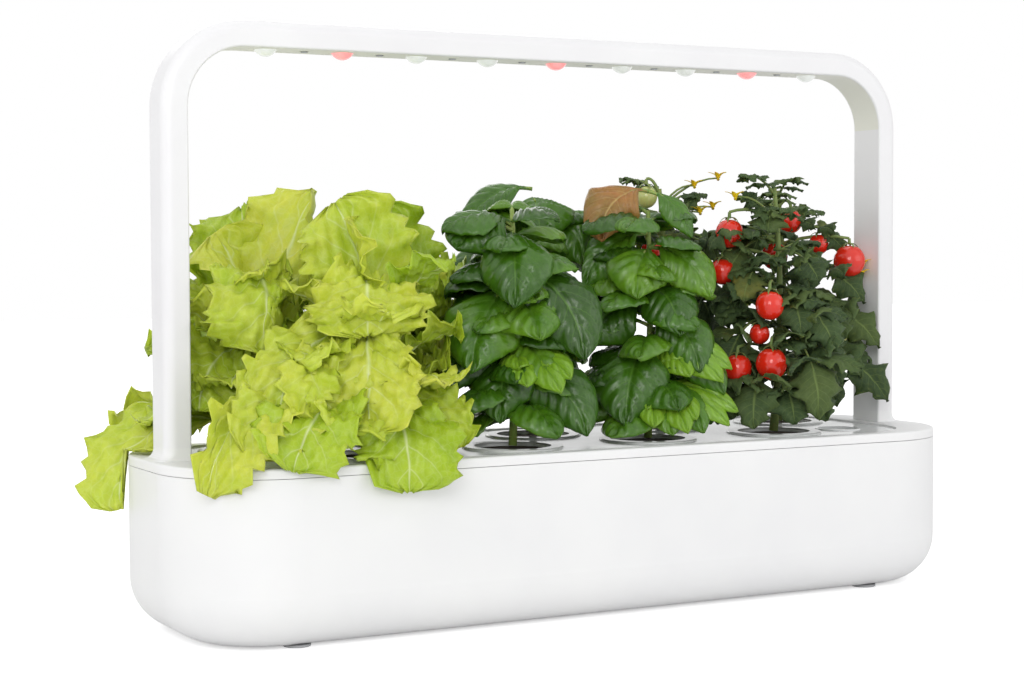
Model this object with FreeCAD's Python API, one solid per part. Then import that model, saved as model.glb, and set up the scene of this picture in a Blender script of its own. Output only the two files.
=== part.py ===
import FreeCAD, Part
import math
import os

# Countertop hydroponic garden: a long white tub on four feet, a rim with a lamp post socket at each
# end, a lift-out tray that carries nine planted cups and a water float over a tank, and a bow-shaped
# grow lamp that plugs onto two extension arms.
# Millimetres. X runs along the tub (left lamp post at -X), Y from front to back, Z up.
# The origin is the centre of the footprint, on the surface that the feet stand on.

Vector = FreeCAD.Vector

# Tub and rim
tub_length = 610.0
tub_depth = 188.0
tub_corner_radius = 70.0
tub_bottom_radius = 35.0
tub_wall = 2.6
foot_height = 1.6
seam_height = 110.4
rim_seam_gap = 0.4
rim_top = 116.6
rim_edge_radius = 1.8
rim_ledge_width = 5.0
rim_plate = 2.4
tongue_depth = 6.0
tongue_wall = 1.6
fit_gap = 0.2

# Feet
foot_radius = 9.0
foot_x = 227.0
foot_y = 63.0
foot_recess = 0.8

# Tray with its cup holes and float port
tray_half_length = 268.0
tray_half_depth = 84.0
tray_corner_radius = 52.0
tray_plate = 2.4
tray_step = 1.1
tray_skirt_depth = 7.0
tray_skirt_wall = 1.6
tray_play = 0.4

# Water tank
tank_wall = 2.0
tank_flange = 7.0
tank_flange_thickness = 2.0
tank_floor = 38.0
tank_bottom_radius = 18.0
tank_clearance = 3.0
pillar_radius = 6.0
pillar_x = 180.0
pillar_y = 45.0

# Cups: five at the back, four at the front, in a zigzag
cup_pitch = 55.0
cup_row_offset = 35.0
back_columns = (-4, -2, 0, 2, 4)
front_columns = (-3, -1, 1, 3)
cup_flange_radius = 35.0
cup_flange_thickness = 1.3
cup_mouth_radius = 26.5
cup_body_radius = 28.5
cup_foot_radius = 23.0
cup_depth = 44.0
cup_wall = 1.5
cup_wick_radius = 7.0
hole_play = 0.6
soil_play = 0.2
soil_drop = 3.0
wick_length = 18.0

# Water float and the port it stands in
float_x = 222.0
float_y = -38.0
port_radius = 15.0
port_lip = 2.0
port_lip_height = 0.8
well_wall = 1.6
well_depth = 60.0
well_slot_width = 8.0
float_head_radius = 8.0
float_head_thickness = 2.0
float_stem_radius = 3.0
float_play = 0.3
float_bulb_height = 14.0
float_length = 34.0
float_sink = 0.6

# Lamp posts: a D section, flat towards the plants and rounded outwards
post_thickness = 17.4
post_width = 31.6
post_outer_face = 296.0
post_outer_radius = 7.0
post_inner_radius = 1.6
post_wall = 1.8
post_base_seam = 124.8
post_top_seam = 315.0
flare_reach = 7.0
spigot_length = 22.0
spigot_wall = 1.6
spigot_shoulder = 6.0
spigot_play = 0.1
socket_wall = 1.6

# Lamp bow
lamp_top = 400.0
bow_outer_radius = 57.0
cover_start = 345.0
cover_thickness = 1.8
cover_lip = 1.4
cover_play = 0.1
led_pitch = 55.0
led_count = 9
red_leds = (1, 4, 7)
lens_radius = 7.5
lens_drop = 4.6
lens_flange_radius = 9.0
lens_flange_thickness = 1.2
lens_hole_play = 0.3
board_width = 20.0
board_thickness = 1.6
board_overhang = 16.0
led_chip = 3.5
led_chip_height = 0.8
spreader_thickness = 3.0
screw_radius = 2.4
screw_head_height = 1.2
screw_shank_radius = 1.25
screw_length = 6.0
screw_recess_radius = 3.2

# Power input and control board
jack_x = 205.0
jack_z = 40.5
jack_body = 9.0
jack_length = 9.5
jack_bore_radius = 3.1
jack_bore_depth = 8.0
jack_pin_radius = 1.0
control_board_length = 46.0
control_board_width = 26.0
control_board_thickness = 1.6
control_board_z = 12.0
control_board_x = 236.0
standoff_radius = 2.6
lead_radius = 1.6

# Planting: lettuce, basil and tomato in threes, left to right
leaf_turn = 137.5
leaf_gap = 0.8
leaf_seat = 3.0
crown_radius = 9.0
crown_height = 5.0
foliage_clearance = 1.0
foliage_low = 76.0
foliage_high = 312.0
foliage_reach = 150.0
lettuce_form = {"thickness": 2.0, "cupping": 0.25,
                "outline": ((0, 0.2), (0.3, 0.46), (0.55, 0.86), (0.8, 1.0), (0.96, 0.66))}
basil_form = {"thickness": 2.0, "cupping": -0.3,
              "outline": ((0, 0.08), (0.22, 0.1), (0.36, 0.8), (0.6, 1.0), (0.86, 0.56))}
tomato_form = {"thickness": 1.6, "cupping": -0.15,
               "outline": ((0, 0.12), (0.3, 0.16), (0.55, 0.9), (0.8, 0.7))}
# Side that the shown leaves face, as an azimuth
front_azimuth = 241.4
# Leaves that reach sideways turn their faces this far to the front
leaf_roll = 55
# Shown leaves: cup, height of the foot, then the tip to the right, towards the front, and up, droop, width
lettuce_shown = (
    (1, 0, 46, -8, 171, 25, 80), (1, 0, -22, 6, 142, 50, 74), (1, 105, 24, 64, 64, 130, 88),
    (1, 60, -26, 52, 26, 110, 66), (1, 95, -36, 10, 78, 90, 62), (1, 20, -8, -30, 160, 40, 78),
    (2, 30, -98, 98, -19, 100, 74), (2, 20, -20, -6, 162, 40, 80), (2, 70, -50, 62, 24, 110, 66),
    (2, 80, 6, 52, 18, 110, 74), (2, 62, -22, 58, 22, 110, 68), (2, 112, 4, 38, 76, 120, 80),
    (2, 26, -66, 88, 2, 80, 60), (2, 28, -38, 92, -6, 88, 66), (2, 34, 31, 58, -22, 120, 68),
    (2, 36, 62, 30, 2, 70, 58), (2, 0, -12, 10, 150, 45, 66), (3, 0, -18, 0, 160, 35, 76),
    (3, 20, 8, 12, 136, 66, 74), (3, 80, 32, 22, 92, 90, 66), (3, 50, 42, 14, 50, 95, 62),
    (3, 62, 14, 32, 30, 105, 60), (3, 30, 20, -20, 120, 60, 70),
)
# Outer leaf that hangs at the left end: azimuth, rise, droop, length, width
lettuce_hung = (172, 50, 150, 150, 56)
lettuce_back = ((12, 62, 70, 130, 62), (48, 50, 95, 120, 66), (84, 66, 60, 140, 64), (122, 46, 100, 112, 66))
lettuce_core = (14.0, 4.0, 115.0)
basil_shown = (
    (4, 106, -27, 38, 48, 78, 58), (4, 150, -37, 22, 130, 82, 56), (5, 175, -50, -6, 146, 80, 46),
    (4, 120, 48, 28, 56, 80, 54), (4, 142, 2, 46, 92, 96, 52), (6, 66, -18, 38, 8, 80, 56),
    (4, 62, -8, 26, 14, 82, 44), (4, 50, 50, 20, 4, 80, 44), (6, 172, -33, 14, 136, 112, 44),
    (6, 172, 30, 5, 138, 70, 24), (4, 70, 24, 36, 40, 80, 40), (5, 130, -64, -14, 104, 72, 48),
    (5, 168, 5, 30, 136, 92, 52), (5, 158, 40, 20, 118, 82, 50), (6, 130, -10, 35, 96, 92, 46),
    (6, 105, 20, 34, 70, 84, 42), (6, 86, 34, 26, 44, 80, 40), (4, 96, 18, 44, 70, 84, 48),
    (6, 34, 14, 42, 0, 80, 32), (6, 36, 36, 36, 2, 80, 32), (6, 62, 52, 18, 28, 80, 32),
    (5, 92, 46, 8, 62, 80, 46), (5, 84, -44, 6, 52, 80, 46), (6, 92, -46, 14, 62, 80, 50),
    (6, 42, -42, 18, 8, 80, 46), (6, 142, -46, 8, 104, 80, 46), (5, 122, 12, 44, 84, 85, 52),
    (6, 132, 42, 16, 96, 80, 40), (4, 82, -46, 14, 30, 82, 44),
)
basil_back = ((10, 60, 42), (66, 64, 48), (122, 58, 44))
basil_tiers = (52, 104, 148)
tomato_shown = (
    (9, 52, 78, 44, 14, 80, 40), (8, 75, 26, 42, 8, 95, 48), (8, 60, -20, 42, 0, 90, 50),
    (8, 48, -44, 20, 2, 80, 42), (8, 105, 15, 36, 68, 90, 38), (9, 85, 74, 30, 54, 85, 40),
    (9, 118, 64, 20, 88, 80, 36), (9, 150, 52, 6, 128, 70, 30), (8, 160, -8, 26, 142, 80, 34),
    (7, 140, 30, 5, 172, 30, 24), (7, 140, 50, 10, 120, 70, 34), (7, 100, 46, 25, 68, 80, 40),
    (7, 120, 22, 36, 90, 80, 36), (8, 125, -26, 30, 92, 80, 36), (8, 150, -24, 0, 172, 30, 26),
    (9, 140, 22, 2, 164, 40, 26), (9, 95, 45, 46, 62, 80, 42), (7, 60, 30, 36, 30, 80, 40),
    (8, 95, 40, 30, 56, 85, 40), (8, 130, 30, 22, 106, 80, 36), (9, 62, 58, 42, 32, 85, 40),
    (9, 130, 20, 38, 98, 80, 36), (9, 110, 8, 44, 72, 85, 38), (8, 34, 34, 34, 6, 80, 36),
)
tomato_back = ((14, 70, 36), (64, 74, 40), (116, 68, 36))
tomato_tiers = (40, 88, 136)
basil_height = 160.0
basil_stem = 3.0
tomato_height = 176.0
tomato_stem = 3.4
tier_turn = 23
tier_rise = 32
tier_droop = 78
leaflet_turn = 62
leaflet_rise = 15
leaflet_droop = 40
leaflet_length = 0.42
leaflet_width = 0.62
leaflet_shares = (0.3, 0.52)
fruit_gap = 0.3
fruit_stalk = 1.4
stalk_taper = 0.9
fruit_stalk_drop = 5.0
# Fruit: cup, then its centre to the right, towards the front and up, and its radius
fruit_rows = (
    (7, -5, 20, 129, 10.5), (7, 31, 0, 126, 9.5), (7, -10, 0, 170, 8.5),
    (8, -34, 10, 142, 10.5), (8, -39, 10, 114, 9.5), (8, -30, 30, 44, 10.5), (8, -7, 40, 48, 11.5),
    (8, -8, 38, 90, 10.5), (8, -14, 28, 69, 7.5),
    (9, 54, 10, 121, 12.5), (9, 9, 5, 152, 9.5), (9, -4, 10, 125, 10.5), (9, 31, 5, 134, 8.0), (9, 40, 25, 64, 10.5),
)


def d_section(inset, height, reach=0.0):
    """Closed wire of the post section at one height, on the right-hand post, taken in by inset."""
    inner = post_outer_face - post_thickness + inset
    outer = post_outer_face - inset + reach
    half = post_width / 2 - inset
    ro = max(post_outer_radius - inset, 0.6)
    ri = max(post_inner_radius - inset, 0.3)
    corners = (
        (outer - ro, half - ro, ro, 0),
        (inner + ri, half - ri, ri, 90),
        (inner + ri, -half + ri, ri, 180),
        (outer - ro, -half + ro, ro, 270),
    )
    return corner_wire(corners, height)


def corner_wire(corners, height):
    """Wire of arcs joined by straight lines; each corner is centre x, centre y, radius, start angle."""
    arcs = []
    for x, y, radius, start in corners:
        points = []
        for turn in (0, 45, 90):
            angle = math.radians(start + turn)
            points.append(Vector(x + radius * math.cos(angle), y + radius * math.sin(angle), height))
        arcs.append(Part.Arc(*points).toShape())
    edges = []
    for index, arc in enumerate(arcs):
        following = arcs[(index + 1) % len(arcs)]
        edges.append(arc)
        a = arc.valueAt(arc.LastParameter)
        b = following.valueAt(following.FirstParameter)
        if a.distanceToPoint(b) > 1e-6:
            edges.append(Part.LineSegment(a, b).toShape())
    return Part.Wire(edges)


def rounded_wire(half_length, half_depth, radius, height):
    """Rounded rectangle centred on the origin."""
    x = half_length - radius
    y = half_depth - radius
    return corner_wire(((x, y, radius, 0), (-x, y, radius, 90), (-x, -y, radius, 180), (x, -y, radius, 270)), height)


def slab(half_length, half_depth, radius, low, high):
    """Rounded rectangle extruded from low to high."""
    return Part.Face(rounded_wire(half_length, half_depth, radius, low)).extrude(Vector(0, 0, high - low))


def level_edges(shape, height):
    """Edges that lie wholly at one height."""
    return [e for e in shape.Edges if abs(e.BoundBox.ZMin - height) < 1e-4 and abs(e.BoundBox.ZMax - height) < 1e-4]


def cylinder(radius, low, high, x=0.0, y=0.0):
    return Part.makeCylinder(radius, high - low, Vector(x, y, low))


def revolve(profile, x=0.0, y=0.0):
    """Full turn about the vertical through x, y of a closed outline of (radius, height) points."""
    points = [Vector(x + r, y, z) for r, z in profile]
    face = Part.Face(Part.makePolygon(points + points[:1]))
    return face.revolve(Vector(x, y, 0), Vector(0, 0, 1), 360)


def mirrored(shape):
    """The same piece at the other end of the tub."""
    return shape.mirror(Vector(0, 0, 0), Vector(1, 0, 0))


def save(name, *solids):
    """Writes one node; several solids share a node as a group."""
    shape = solids[0] if len(solids) == 1 else Part.makeCompound(list(solids))
    shape.exportStep("parts/" + name + ".step")


# Tub

def tub_solid(inset, low, high):
    """Tub form with rounded bottom edge, taken in by inset."""
    body = slab(tub_length / 2 - inset, tub_depth / 2 - inset, tub_corner_radius - inset, low, high)
    return body.makeFillet(tub_bottom_radius - inset, level_edges(body, low))


def tub_shell():
    """Moulded outer tub: open on top, with pillars for the tank, foot recesses and the inlet hole."""
    tub_bottom = foot_height - foot_recess
    shell = tub_solid(0, tub_bottom, seam_height - rim_seam_gap)
    shell = shell.cut(tub_solid(tub_wall, tub_bottom + tub_wall, seam_height + 1))
    floor = tub_bottom + tub_wall
    for x in (-pillar_x, 0, pillar_x):
        for y in (-pillar_y, pillar_y):
            shell = shell.fuse(cylinder(pillar_radius, floor - 1, tank_floor, x, y))
    for x in board_standoffs():
        shell = shell.fuse(cylinder(standoff_radius, floor - 1, control_board_z, x, control_board_y()))
    for x, y in foot_places():
        shell = shell.cut(cylinder(foot_radius + fit_gap, tub_bottom - 1, foot_height, x, y))
    inlet = Part.makeCylinder(jack_bore_radius + 1.2, 3 * tub_wall, Vector(jack_x, tub_depth / 2 - 2 * tub_wall, jack_z),
                              Vector(0, 1, 0))
    return shell.cut(inlet)


def foot_places():
    return [(x, y) for x in (-foot_x, foot_x) for y in (-foot_y, foot_y)]


def feet():
    """Four soft pads, chamfered at the bottom edge."""
    pads = []
    for x, y in foot_places():
        pad = cylinder(foot_radius, 0, foot_height, x, y)
        pads.append(pad.makeChamfer(0.4, level_edges(pad, 0)))
    return pads


# Rim

def flare():
    """Web that blends the outer side of the socket into the rim's flat end, along a quarter circle."""
    levels = 6
    wires = []
    for level in range(levels + 1):
        rise = flare_reach * level / levels
        reach = flare_reach - math.sqrt(flare_reach ** 2 - (flare_reach - rise) ** 2)
        wires.append(d_section(0, rim_top + rise, reach))
    return Part.makeLoft(wires, True, True)


def rim():
    """Top rim: moulded ring over the tub edge, tray ledge, locating tongue and the two post sockets."""
    half_l = tub_length / 2
    half_d = tub_depth / 2
    ring = slab(half_l, half_d, tub_corner_radius, seam_height, rim_top)
    ring = ring.makeFillet(rim_edge_radius, level_edges(ring, rim_top))
    hollow = slab(half_l - tub_wall, half_d - tub_wall, tub_corner_radius - tub_wall, seam_height - 1, rim_top - rim_plate)
    ring = ring.cut(hollow)
    well_low = tray_seat() - rim_plate
    well = slab(tray_half_length + rim_plate, tray_half_depth + rim_plate, tray_corner_radius + rim_plate, well_low,
                rim_top - 0.5)
    ring = ring.fuse(well)
    ring = ring.cut(slab(tray_half_length, tray_half_depth, tray_corner_radius, tray_seat(), rim_top + 1))
    ring = ring.cut(slab(tray_half_length - rim_ledge_width, tray_half_depth - rim_ledge_width,
                         tray_corner_radius - rim_ledge_width, well_low - 1, rim_top))
    outer = tub_wall + fit_gap
    inner = outer + tongue_wall
    tongue = slab(half_l - outer, half_d - outer, tub_corner_radius - outer, seam_height - tongue_depth,
                  rim_top - rim_plate + 0.5)
    tongue = tongue.cut(slab(half_l - inner, half_d - inner, tub_corner_radius - inner, seam_height - tongue_depth - 1,
                             rim_top))
    ring = ring.fuse(tongue)
    socket = socket_tube()
    bore = socket_bore()
    ring = ring.fuse([socket, mirrored(socket)])
    ring = ring.cut(Part.makeCompound([bore, mirrored(bore)]))
    return ring


def socket_depth():
    return post_base_seam - spigot_length - 1


def socket_tube():
    """Post socket with its flare, from below the rim up to the seam with the arm."""
    boss = Part.Face(d_section(0, rim_top - 1)).extrude(Vector(0, 0, post_base_seam - rim_top + 1))
    tube = Part.Face(d_section(socket_inset() - socket_wall, socket_depth() - socket_wall))
    tube = tube.extrude(Vector(0, 0, rim_top - socket_depth() + socket_wall))
    return boss.fuse([tube, flare()])


def socket_inset():
    """How far the socket's bore lies inside the post's outline."""
    return post_wall + spigot_play


def socket_bore():
    """Hollow that takes an arm's spigot, with a lead hole through its floor."""
    bore = Part.Face(d_section(socket_inset(), socket_depth())).extrude(Vector(0, 0, spigot_length + 2))
    lead = cylinder(lead_radius + 0.6, socket_depth() - 2 * socket_wall, socket_depth() + 1, post_centre(), 0)
    return bore.fuse(lead)


def post_centre():
    return post_outer_face - post_thickness / 2


# Tank

def tray_seat():
    """Height of the ledge that the tray rests on."""
    return rim_top - tray_step - tray_plate


def tank_top():
    return tray_seat() - rim_plate - fit_gap


def tank_half(axis):
    """Outer half size of the tank body along the tub (0) or across it (1)."""
    half = (tray_half_length, tray_half_depth)[axis]
    return half - rim_ledge_width + tank_wall


def water_tank():
    """Basin that hangs below the tray, with an outward flange and rounded bottom edge."""
    radius = tray_corner_radius - rim_ledge_width + tank_wall
    low = tank_floor
    top = tank_top()
    outer = slab(tank_half(0), tank_half(1), radius, low, top)
    outer = outer.makeFillet(tank_bottom_radius, level_edges(outer, low))
    flange = slab(tank_half(0) + tank_flange, tank_half(1) + tank_flange / 2, radius + tank_flange / 2,
                  top - tank_flange_thickness, top)
    inner = slab(tank_half(0) - tank_wall, tank_half(1) - tank_wall, radius - tank_wall, low + tank_wall, top + 1)
    inner = inner.makeFillet(tank_bottom_radius - tank_wall, level_edges(inner, low + tank_wall))
    return outer.fuse(flange).cut(inner)


# Tray, cups and float

def cup_places():
    """Number and centre of each cup, counted from the left."""
    columns = sorted(back_columns + front_columns)
    places = []
    for number, column in enumerate(columns, 1):
        row = cup_row_offset if column in back_columns else -cup_row_offset
        places.append((number, column * cup_pitch, row))
    return places


def tray_top():
    return tray_seat() + tray_plate


def tray():
    """Lid over the tank: plate with nine cup holes, a raised float port and a stiffening skirt."""
    half_l = tray_half_length - tray_play
    half_d = tray_half_depth - tray_play
    radius = tray_corner_radius - tray_play
    seat = tray_seat()
    plate = slab(half_l, half_d, radius, seat, tray_top())
    plate = plate.makeFillet(0.6, level_edges(plate, tray_top()))
    edge = rim_ledge_width + tray_play
    skirt = slab(half_l - edge, half_d - edge, radius - edge, seat - tray_skirt_depth, seat + 0.5)
    skirt_in = edge + tray_skirt_wall
    skirt = skirt.cut(slab(half_l - skirt_in, half_d - skirt_in, radius - skirt_in, seat - tray_skirt_depth - 1, seat + 1))
    lip = cylinder(port_radius + port_lip, tray_top() - 0.5, tray_top() + port_lip_height, float_x, float_y)
    lip = lip.makeFillet(0.5, level_edges(lip, tray_top() + port_lip_height))
    plate = plate.fuse([skirt, lip])
    for _, x, y in cup_places():
        plate = plate.cut(cylinder(cup_body_radius + hole_play, seat - 1, tray_top() + 1, x, y))
    return plate.cut(cylinder(port_radius, seat - 1, tray_top() + 2, float_x, float_y))


def float_well():
    """Slotted guide tube under the port, so that water and the float share one level."""
    top = tray_seat()
    outer = port_radius
    well = cylinder(outer, top - well_depth, top, float_x, float_y)
    well = well.fuse(cylinder(outer + port_lip, top - 1.6, top, float_x, float_y))
    well = well.cut(cylinder(outer - well_wall, top - well_depth + well_wall, top + 1, float_x, float_y))
    slot_low = top - well_depth + 2 * well_wall
    slot_height = well_depth - 6 * well_wall
    for turn in (0, 90):
        slot = Part.makeBox(4 * outer, well_slot_width, slot_height, Vector(-2 * outer, -well_slot_width / 2, slot_low))
        slot.rotate(Vector(0, 0, 0), Vector(0, 0, 1), turn + 45)
        slot.translate(Vector(float_x, float_y, 0))
        well = well.cut(slot)
    return well


def water_float():
    """Float with a flat head that shows the water level in the port."""
    top = tray_top() - float_sink
    bulb_top = top - float_length + float_bulb_height
    bulb = port_radius - well_wall - float_play
    profile = [(0, top - float_length), (bulb - 3, top - float_length), (bulb, top - float_length + 3),
               (bulb, bulb_top - 3), (bulb - 3, bulb_top), (float_stem_radius, bulb_top),
               (float_stem_radius, top - float_head_thickness), (float_head_radius, top - float_head_thickness),
               (float_head_radius, top - 0.5), (float_head_radius - 0.5, top), (0, top)]
    return revolve(profile, float_x, float_y)


def cup_top():
    return tray_top() + cup_flange_thickness


def cup(x, y):
    """Planting cup: flange on the tray, tapered body and an open foot for the wick."""
    top = cup_top()
    rest = tray_top()
    low = top - cup_depth
    profile = [(cup_wick_radius + soil_play, low), (cup_foot_radius, low), (cup_body_radius, rest),
               (cup_flange_radius, rest), (cup_flange_radius, rest + 0.6 * cup_flange_thickness),
               (cup_flange_radius - 0.8, top), (cup_mouth_radius, top), (cup_body_radius - cup_wall, rest),
               (cup_foot_radius - cup_wall, low + cup_wall), (cup_wick_radius + soil_play, low + cup_wall)]
    return revolve(profile, x, y)


def soil(x, y):
    """Growing medium: tapered plug with a wick leg that reaches down into the water."""
    top = cup_top() - soil_drop
    low = cup_top() - cup_depth + cup_wall + soil_play
    rest = tray_top()
    slope = (cup_body_radius - cup_foot_radius) / (rest - (cup_top() - cup_depth))
    upper = cup_body_radius - cup_wall - soil_play - slope * (rest - top)
    lower = cup_foot_radius - cup_wall - soil_play
    wick_low = low - cup_wall - wick_length
    profile = [(0, wick_low), (cup_wick_radius - 2, wick_low), (cup_wick_radius, wick_low + 2),
               (cup_wick_radius, low), (lower, low), (upper, top), (0, top)]
    return revolve(profile, x, y)


# Lamp

def arm():
    """Extension arm: hollow post whose lower spigot plugs into the socket below."""
    height = post_top_seam - post_base_seam
    outer = Part.Face(d_section(0, post_base_seam)).extrude(Vector(0, 0, height))
    bore = Part.Face(d_section(post_wall, post_base_seam - 1)).extrude(Vector(0, 0, height + 2))
    return outer.cut(bore).fuse(spigot(post_base_seam))


def spigot(seam):
    """Hollow plug below a seam, keyed into the post above it by a shoulder."""
    inset = post_wall + fit_gap
    outer = Part.Face(d_section(inset, seam - spigot_length)).extrude(Vector(0, 0, spigot_length + spigot_shoulder))
    key = Part.Face(d_section(post_wall - 0.6, seam)).extrude(Vector(0, 0, spigot_shoulder))
    bore = Part.Face(d_section(inset + spigot_wall, seam - spigot_length - 1))
    bore = bore.extrude(Vector(0, 0, spigot_length + spigot_shoulder + 2))
    return outer.fuse(key).cut(bore)


def swept(profile, start):
    """Closed profile at a start height on the right leg, carried up, round both corners and down the left."""
    corner = post_outer_face - bow_outer_radius
    height = lamp_top - bow_outer_radius
    section = Part.Face(profile)
    leg = section.extrude(Vector(0, 0, height - start))
    section.translate(Vector(0, 0, height - start))
    bend = section.revolve(Vector(corner, 0, height), Vector(0, -1, 0), 90)
    section.rotate(Vector(corner, 0, height), Vector(0, -1, 0), 90)
    bar = section.extrude(Vector(-2 * corner, 0, 0))
    return bar.fuse([bend, mirrored(bend), leg, mirrored(leg)]).removeSplitter()


def cover_profile(start, play, thickness):
    """Cross-section of the lamp's inner cover at the bottom of the right leg."""
    inner = post_outer_face - post_thickness
    half = post_width / 2 - cover_lip - play
    corners = [Vector(inner, -half, start), Vector(inner + thickness, -half, start),
               Vector(inner + thickness, half, start), Vector(inner, half, start)]
    return Part.makePolygon(corners + corners[:1])


def lamp_housing():
    """Bow-shaped lamp body: hollow D section, open on the inside of the bow where the cover goes."""
    body = swept(d_section(0, post_top_seam), post_top_seam)
    cavity = swept(d_section(post_wall, post_top_seam), post_top_seam)
    body = body.cut(cavity)
    body = body.cut(swept(cover_profile(cover_start, 0, cover_thickness + 0.2), cover_start))
    plug = spigot(post_top_seam)
    return body.fuse([plug, mirrored(plug)])


def underside():
    """Height of the lamp's flat underside."""
    return lamp_top - post_thickness


def led_places():
    return [(index, (index - (led_count - 1) / 2) * led_pitch) for index in range(led_count)]


def screw_places():
    return [(index - (led_count - 2) / 2) * led_pitch for index in range(led_count - 1)]


def lamp_cover():
    """Inner cover of the bow, with lens holes and countersunk screw places between them."""
    cover = swept(cover_profile(cover_start + cover_play, cover_play, cover_thickness), cover_start + cover_play)
    low = underside()
    for _, x in led_places():
        cover = cover.cut(cylinder(lens_radius + lens_hole_play, low - 1, low + cover_thickness + 1, x))
    for x in screw_places():
        cover = cover.cut(cylinder(screw_recess_radius, low - 1, low + 0.6, x))
        cover = cover.cut(cylinder(screw_shank_radius + 0.2, low - 1, low + cover_thickness + 1, x))
    return cover


def board_low():
    """Underside of the LED board, on top of the lens flanges."""
    return underside() + cover_thickness + lens_flange_thickness


def half_board():
    return (led_count - 1) / 2 * led_pitch + board_overhang


def led_board():
    board = Part.makeBox(2 * half_board(), board_width, board_thickness,
                         Vector(-half_board(), -board_width / 2, board_low()))
    for x in screw_places():
        board = board.cut(cylinder(screw_shank_radius + 0.15, board_low() - 1, board_low() + board_thickness + 1, x))
    return board


def heat_spreader():
    """Aluminium bar that backs the LED board and takes the cover screws."""
    low = board_low() + board_thickness
    bar = Part.makeBox(2 * half_board(), board_width, spreader_thickness, Vector(-half_board(), -board_width / 2, low))
    for x in screw_places():
        bar = bar.cut(cylinder(screw_shank_radius, low - 1, low + spreader_thickness + 1, x))
    return bar


def lens(x):
    """Lens with a shallow dome below the cover, and a pocket above for its LED."""
    low = underside()
    dome_radius = (lens_radius ** 2 + lens_drop ** 2) / (2 * lens_drop)
    dome = Part.makeSphere(dome_radius, Vector(x, 0, low - lens_drop + dome_radius))
    body = dome.common(cylinder(lens_radius, low - lens_drop - 1, low, x))
    body = body.fuse(cylinder(lens_radius, low, board_low(), x))
    body = body.fuse(cylinder(lens_flange_radius, board_low() - lens_flange_thickness, board_low(), x))
    pocket = led_chip + 0.6
    return body.cut(Part.makeBox(pocket, pocket, 2 * led_chip_height,
                                 Vector(x - pocket / 2, -pocket / 2, board_low() - led_chip_height - 0.3)))


def led(x):
    return Part.makeBox(led_chip, led_chip, led_chip_height,
                        Vector(x - led_chip / 2, -led_chip / 2, board_low() - led_chip_height))


def cover_screw(x):
    """Flat-head screw, head down, from the cover into the heat spreader."""
    head_low = underside() - 0.6
    head = cylinder(screw_radius, underside() + 0.6 - screw_head_height, underside() + 0.6, x)
    shank = cylinder(screw_shank_radius, underside() + 0.6 - 0.1, underside() + 0.6 + screw_length, x)
    slot = Part.makeBox(2 * screw_radius, 0.6, 0.5, Vector(x - screw_radius, -0.3, head_low))
    return head.fuse(shank).cut(slot)


# Power input, control board and leads

def control_board_y():
    return tub_depth / 2 - tub_bottom_radius - control_board_width / 2


def board_standoffs():
    reach = control_board_length / 2 - 4
    return (control_board_x - reach, control_board_x + reach)


def control_board():
    """Small board on two standoffs, with its two lead terminals and a driver block."""
    y = control_board_y()
    top = control_board_z + control_board_thickness
    board = Part.makeBox(control_board_length, control_board_width, control_board_thickness,
                         Vector(control_board_x - control_board_length / 2, y - control_board_width / 2, control_board_z))
    driver = Part.makeBox(14, 12, 6, Vector(control_board_x - 7, y - 6, top - 0.1))
    terminal = Part.makeBox(8, 8, 7, Vector(control_board_x - 22, y + 3, top - 0.1))
    outlet = Part.makeBox(8, 8, 7, Vector(control_board_x + 14, y - 4, top - 0.1))
    return board.fuse([driver, terminal, outlet])


def power_jack():
    """Barrel jack behind the tub's rear wall, with its centre pin."""
    front = tub_depth / 2 - tub_wall
    half = jack_body / 2
    body = Part.makeBox(jack_body, jack_length, jack_body, Vector(jack_x - half, front - jack_length, jack_z - half))
    nose = Part.makeCylinder(jack_bore_radius + 1.0, tub_wall, Vector(jack_x, front, jack_z), Vector(0, 1, 0))
    mouth = tub_depth / 2
    bore = Part.makeCylinder(jack_bore_radius, jack_bore_depth, Vector(jack_x, mouth - jack_bore_depth, jack_z),
                             Vector(0, 1, 0))
    pin = Part.makeCylinder(jack_pin_radius, jack_bore_depth, Vector(jack_x, mouth - jack_bore_depth - 1, jack_z),
                            Vector(0, 1, 0))
    return body.fuse(nose).cut(bore).fuse(pin)


def lead(points):
    """Round lead along straight runs joined by tangent arcs."""
    edges = []
    start = points[0]
    for before, corner, after in zip(points, points[1:], points[2:]):
        a = (before - corner).normalize()
        b = (after - corner).normalize()
        turn = math.pi - a.getAngle(b)
        run = 0.45 * min((before - corner).Length, (after - corner).Length)
        enter = corner + a * run
        leave = corner + b * run
        radius = run / math.tan(turn / 2)
        middle_way = (a + b).normalize()
        centre = corner + middle_way * math.hypot(radius, run)
        middle = centre - middle_way * radius
        edges.append(Part.LineSegment(start, enter).toShape())
        edges.append(Part.Arc(enter, middle, leave).toShape())
        start = leave
    edges.append(Part.LineSegment(start, points[-1]).toShape())
    spine = Part.Wire(edges)
    section = Part.Wire([Part.Circle(points[0], points[1] - points[0], lead_radius).toShape()])
    return spine.makePipeShell([section], True, True)


def input_lead():
    """From the jack to the control board's terminal."""
    y = control_board_y()
    start = Vector(jack_x, tub_depth / 2 - tub_wall - jack_length + 3, jack_z - jack_body / 2)
    end = Vector(control_board_x - 18, y + 7, control_board_z + control_board_thickness + 6.9)
    return lead([start, start + Vector(0, 0, -10), Vector(end.x, end.y, end.z + 9), end])


def lamp_lead_base():
    """From the control board's outlet up to the floor of the right-hand socket."""
    y = control_board_y()
    start = Vector(control_board_x + 18, y, control_board_z + control_board_thickness + 6.9)
    end = Vector(post_centre(), 0, socket_depth() - socket_wall + 0.2)
    return lead([start, Vector(start.x, start.y, start.z + 8), Vector(end.x, y / 2, start.z + 13),
                 Vector(end.x, 0, end.z - 30), end])


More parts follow.
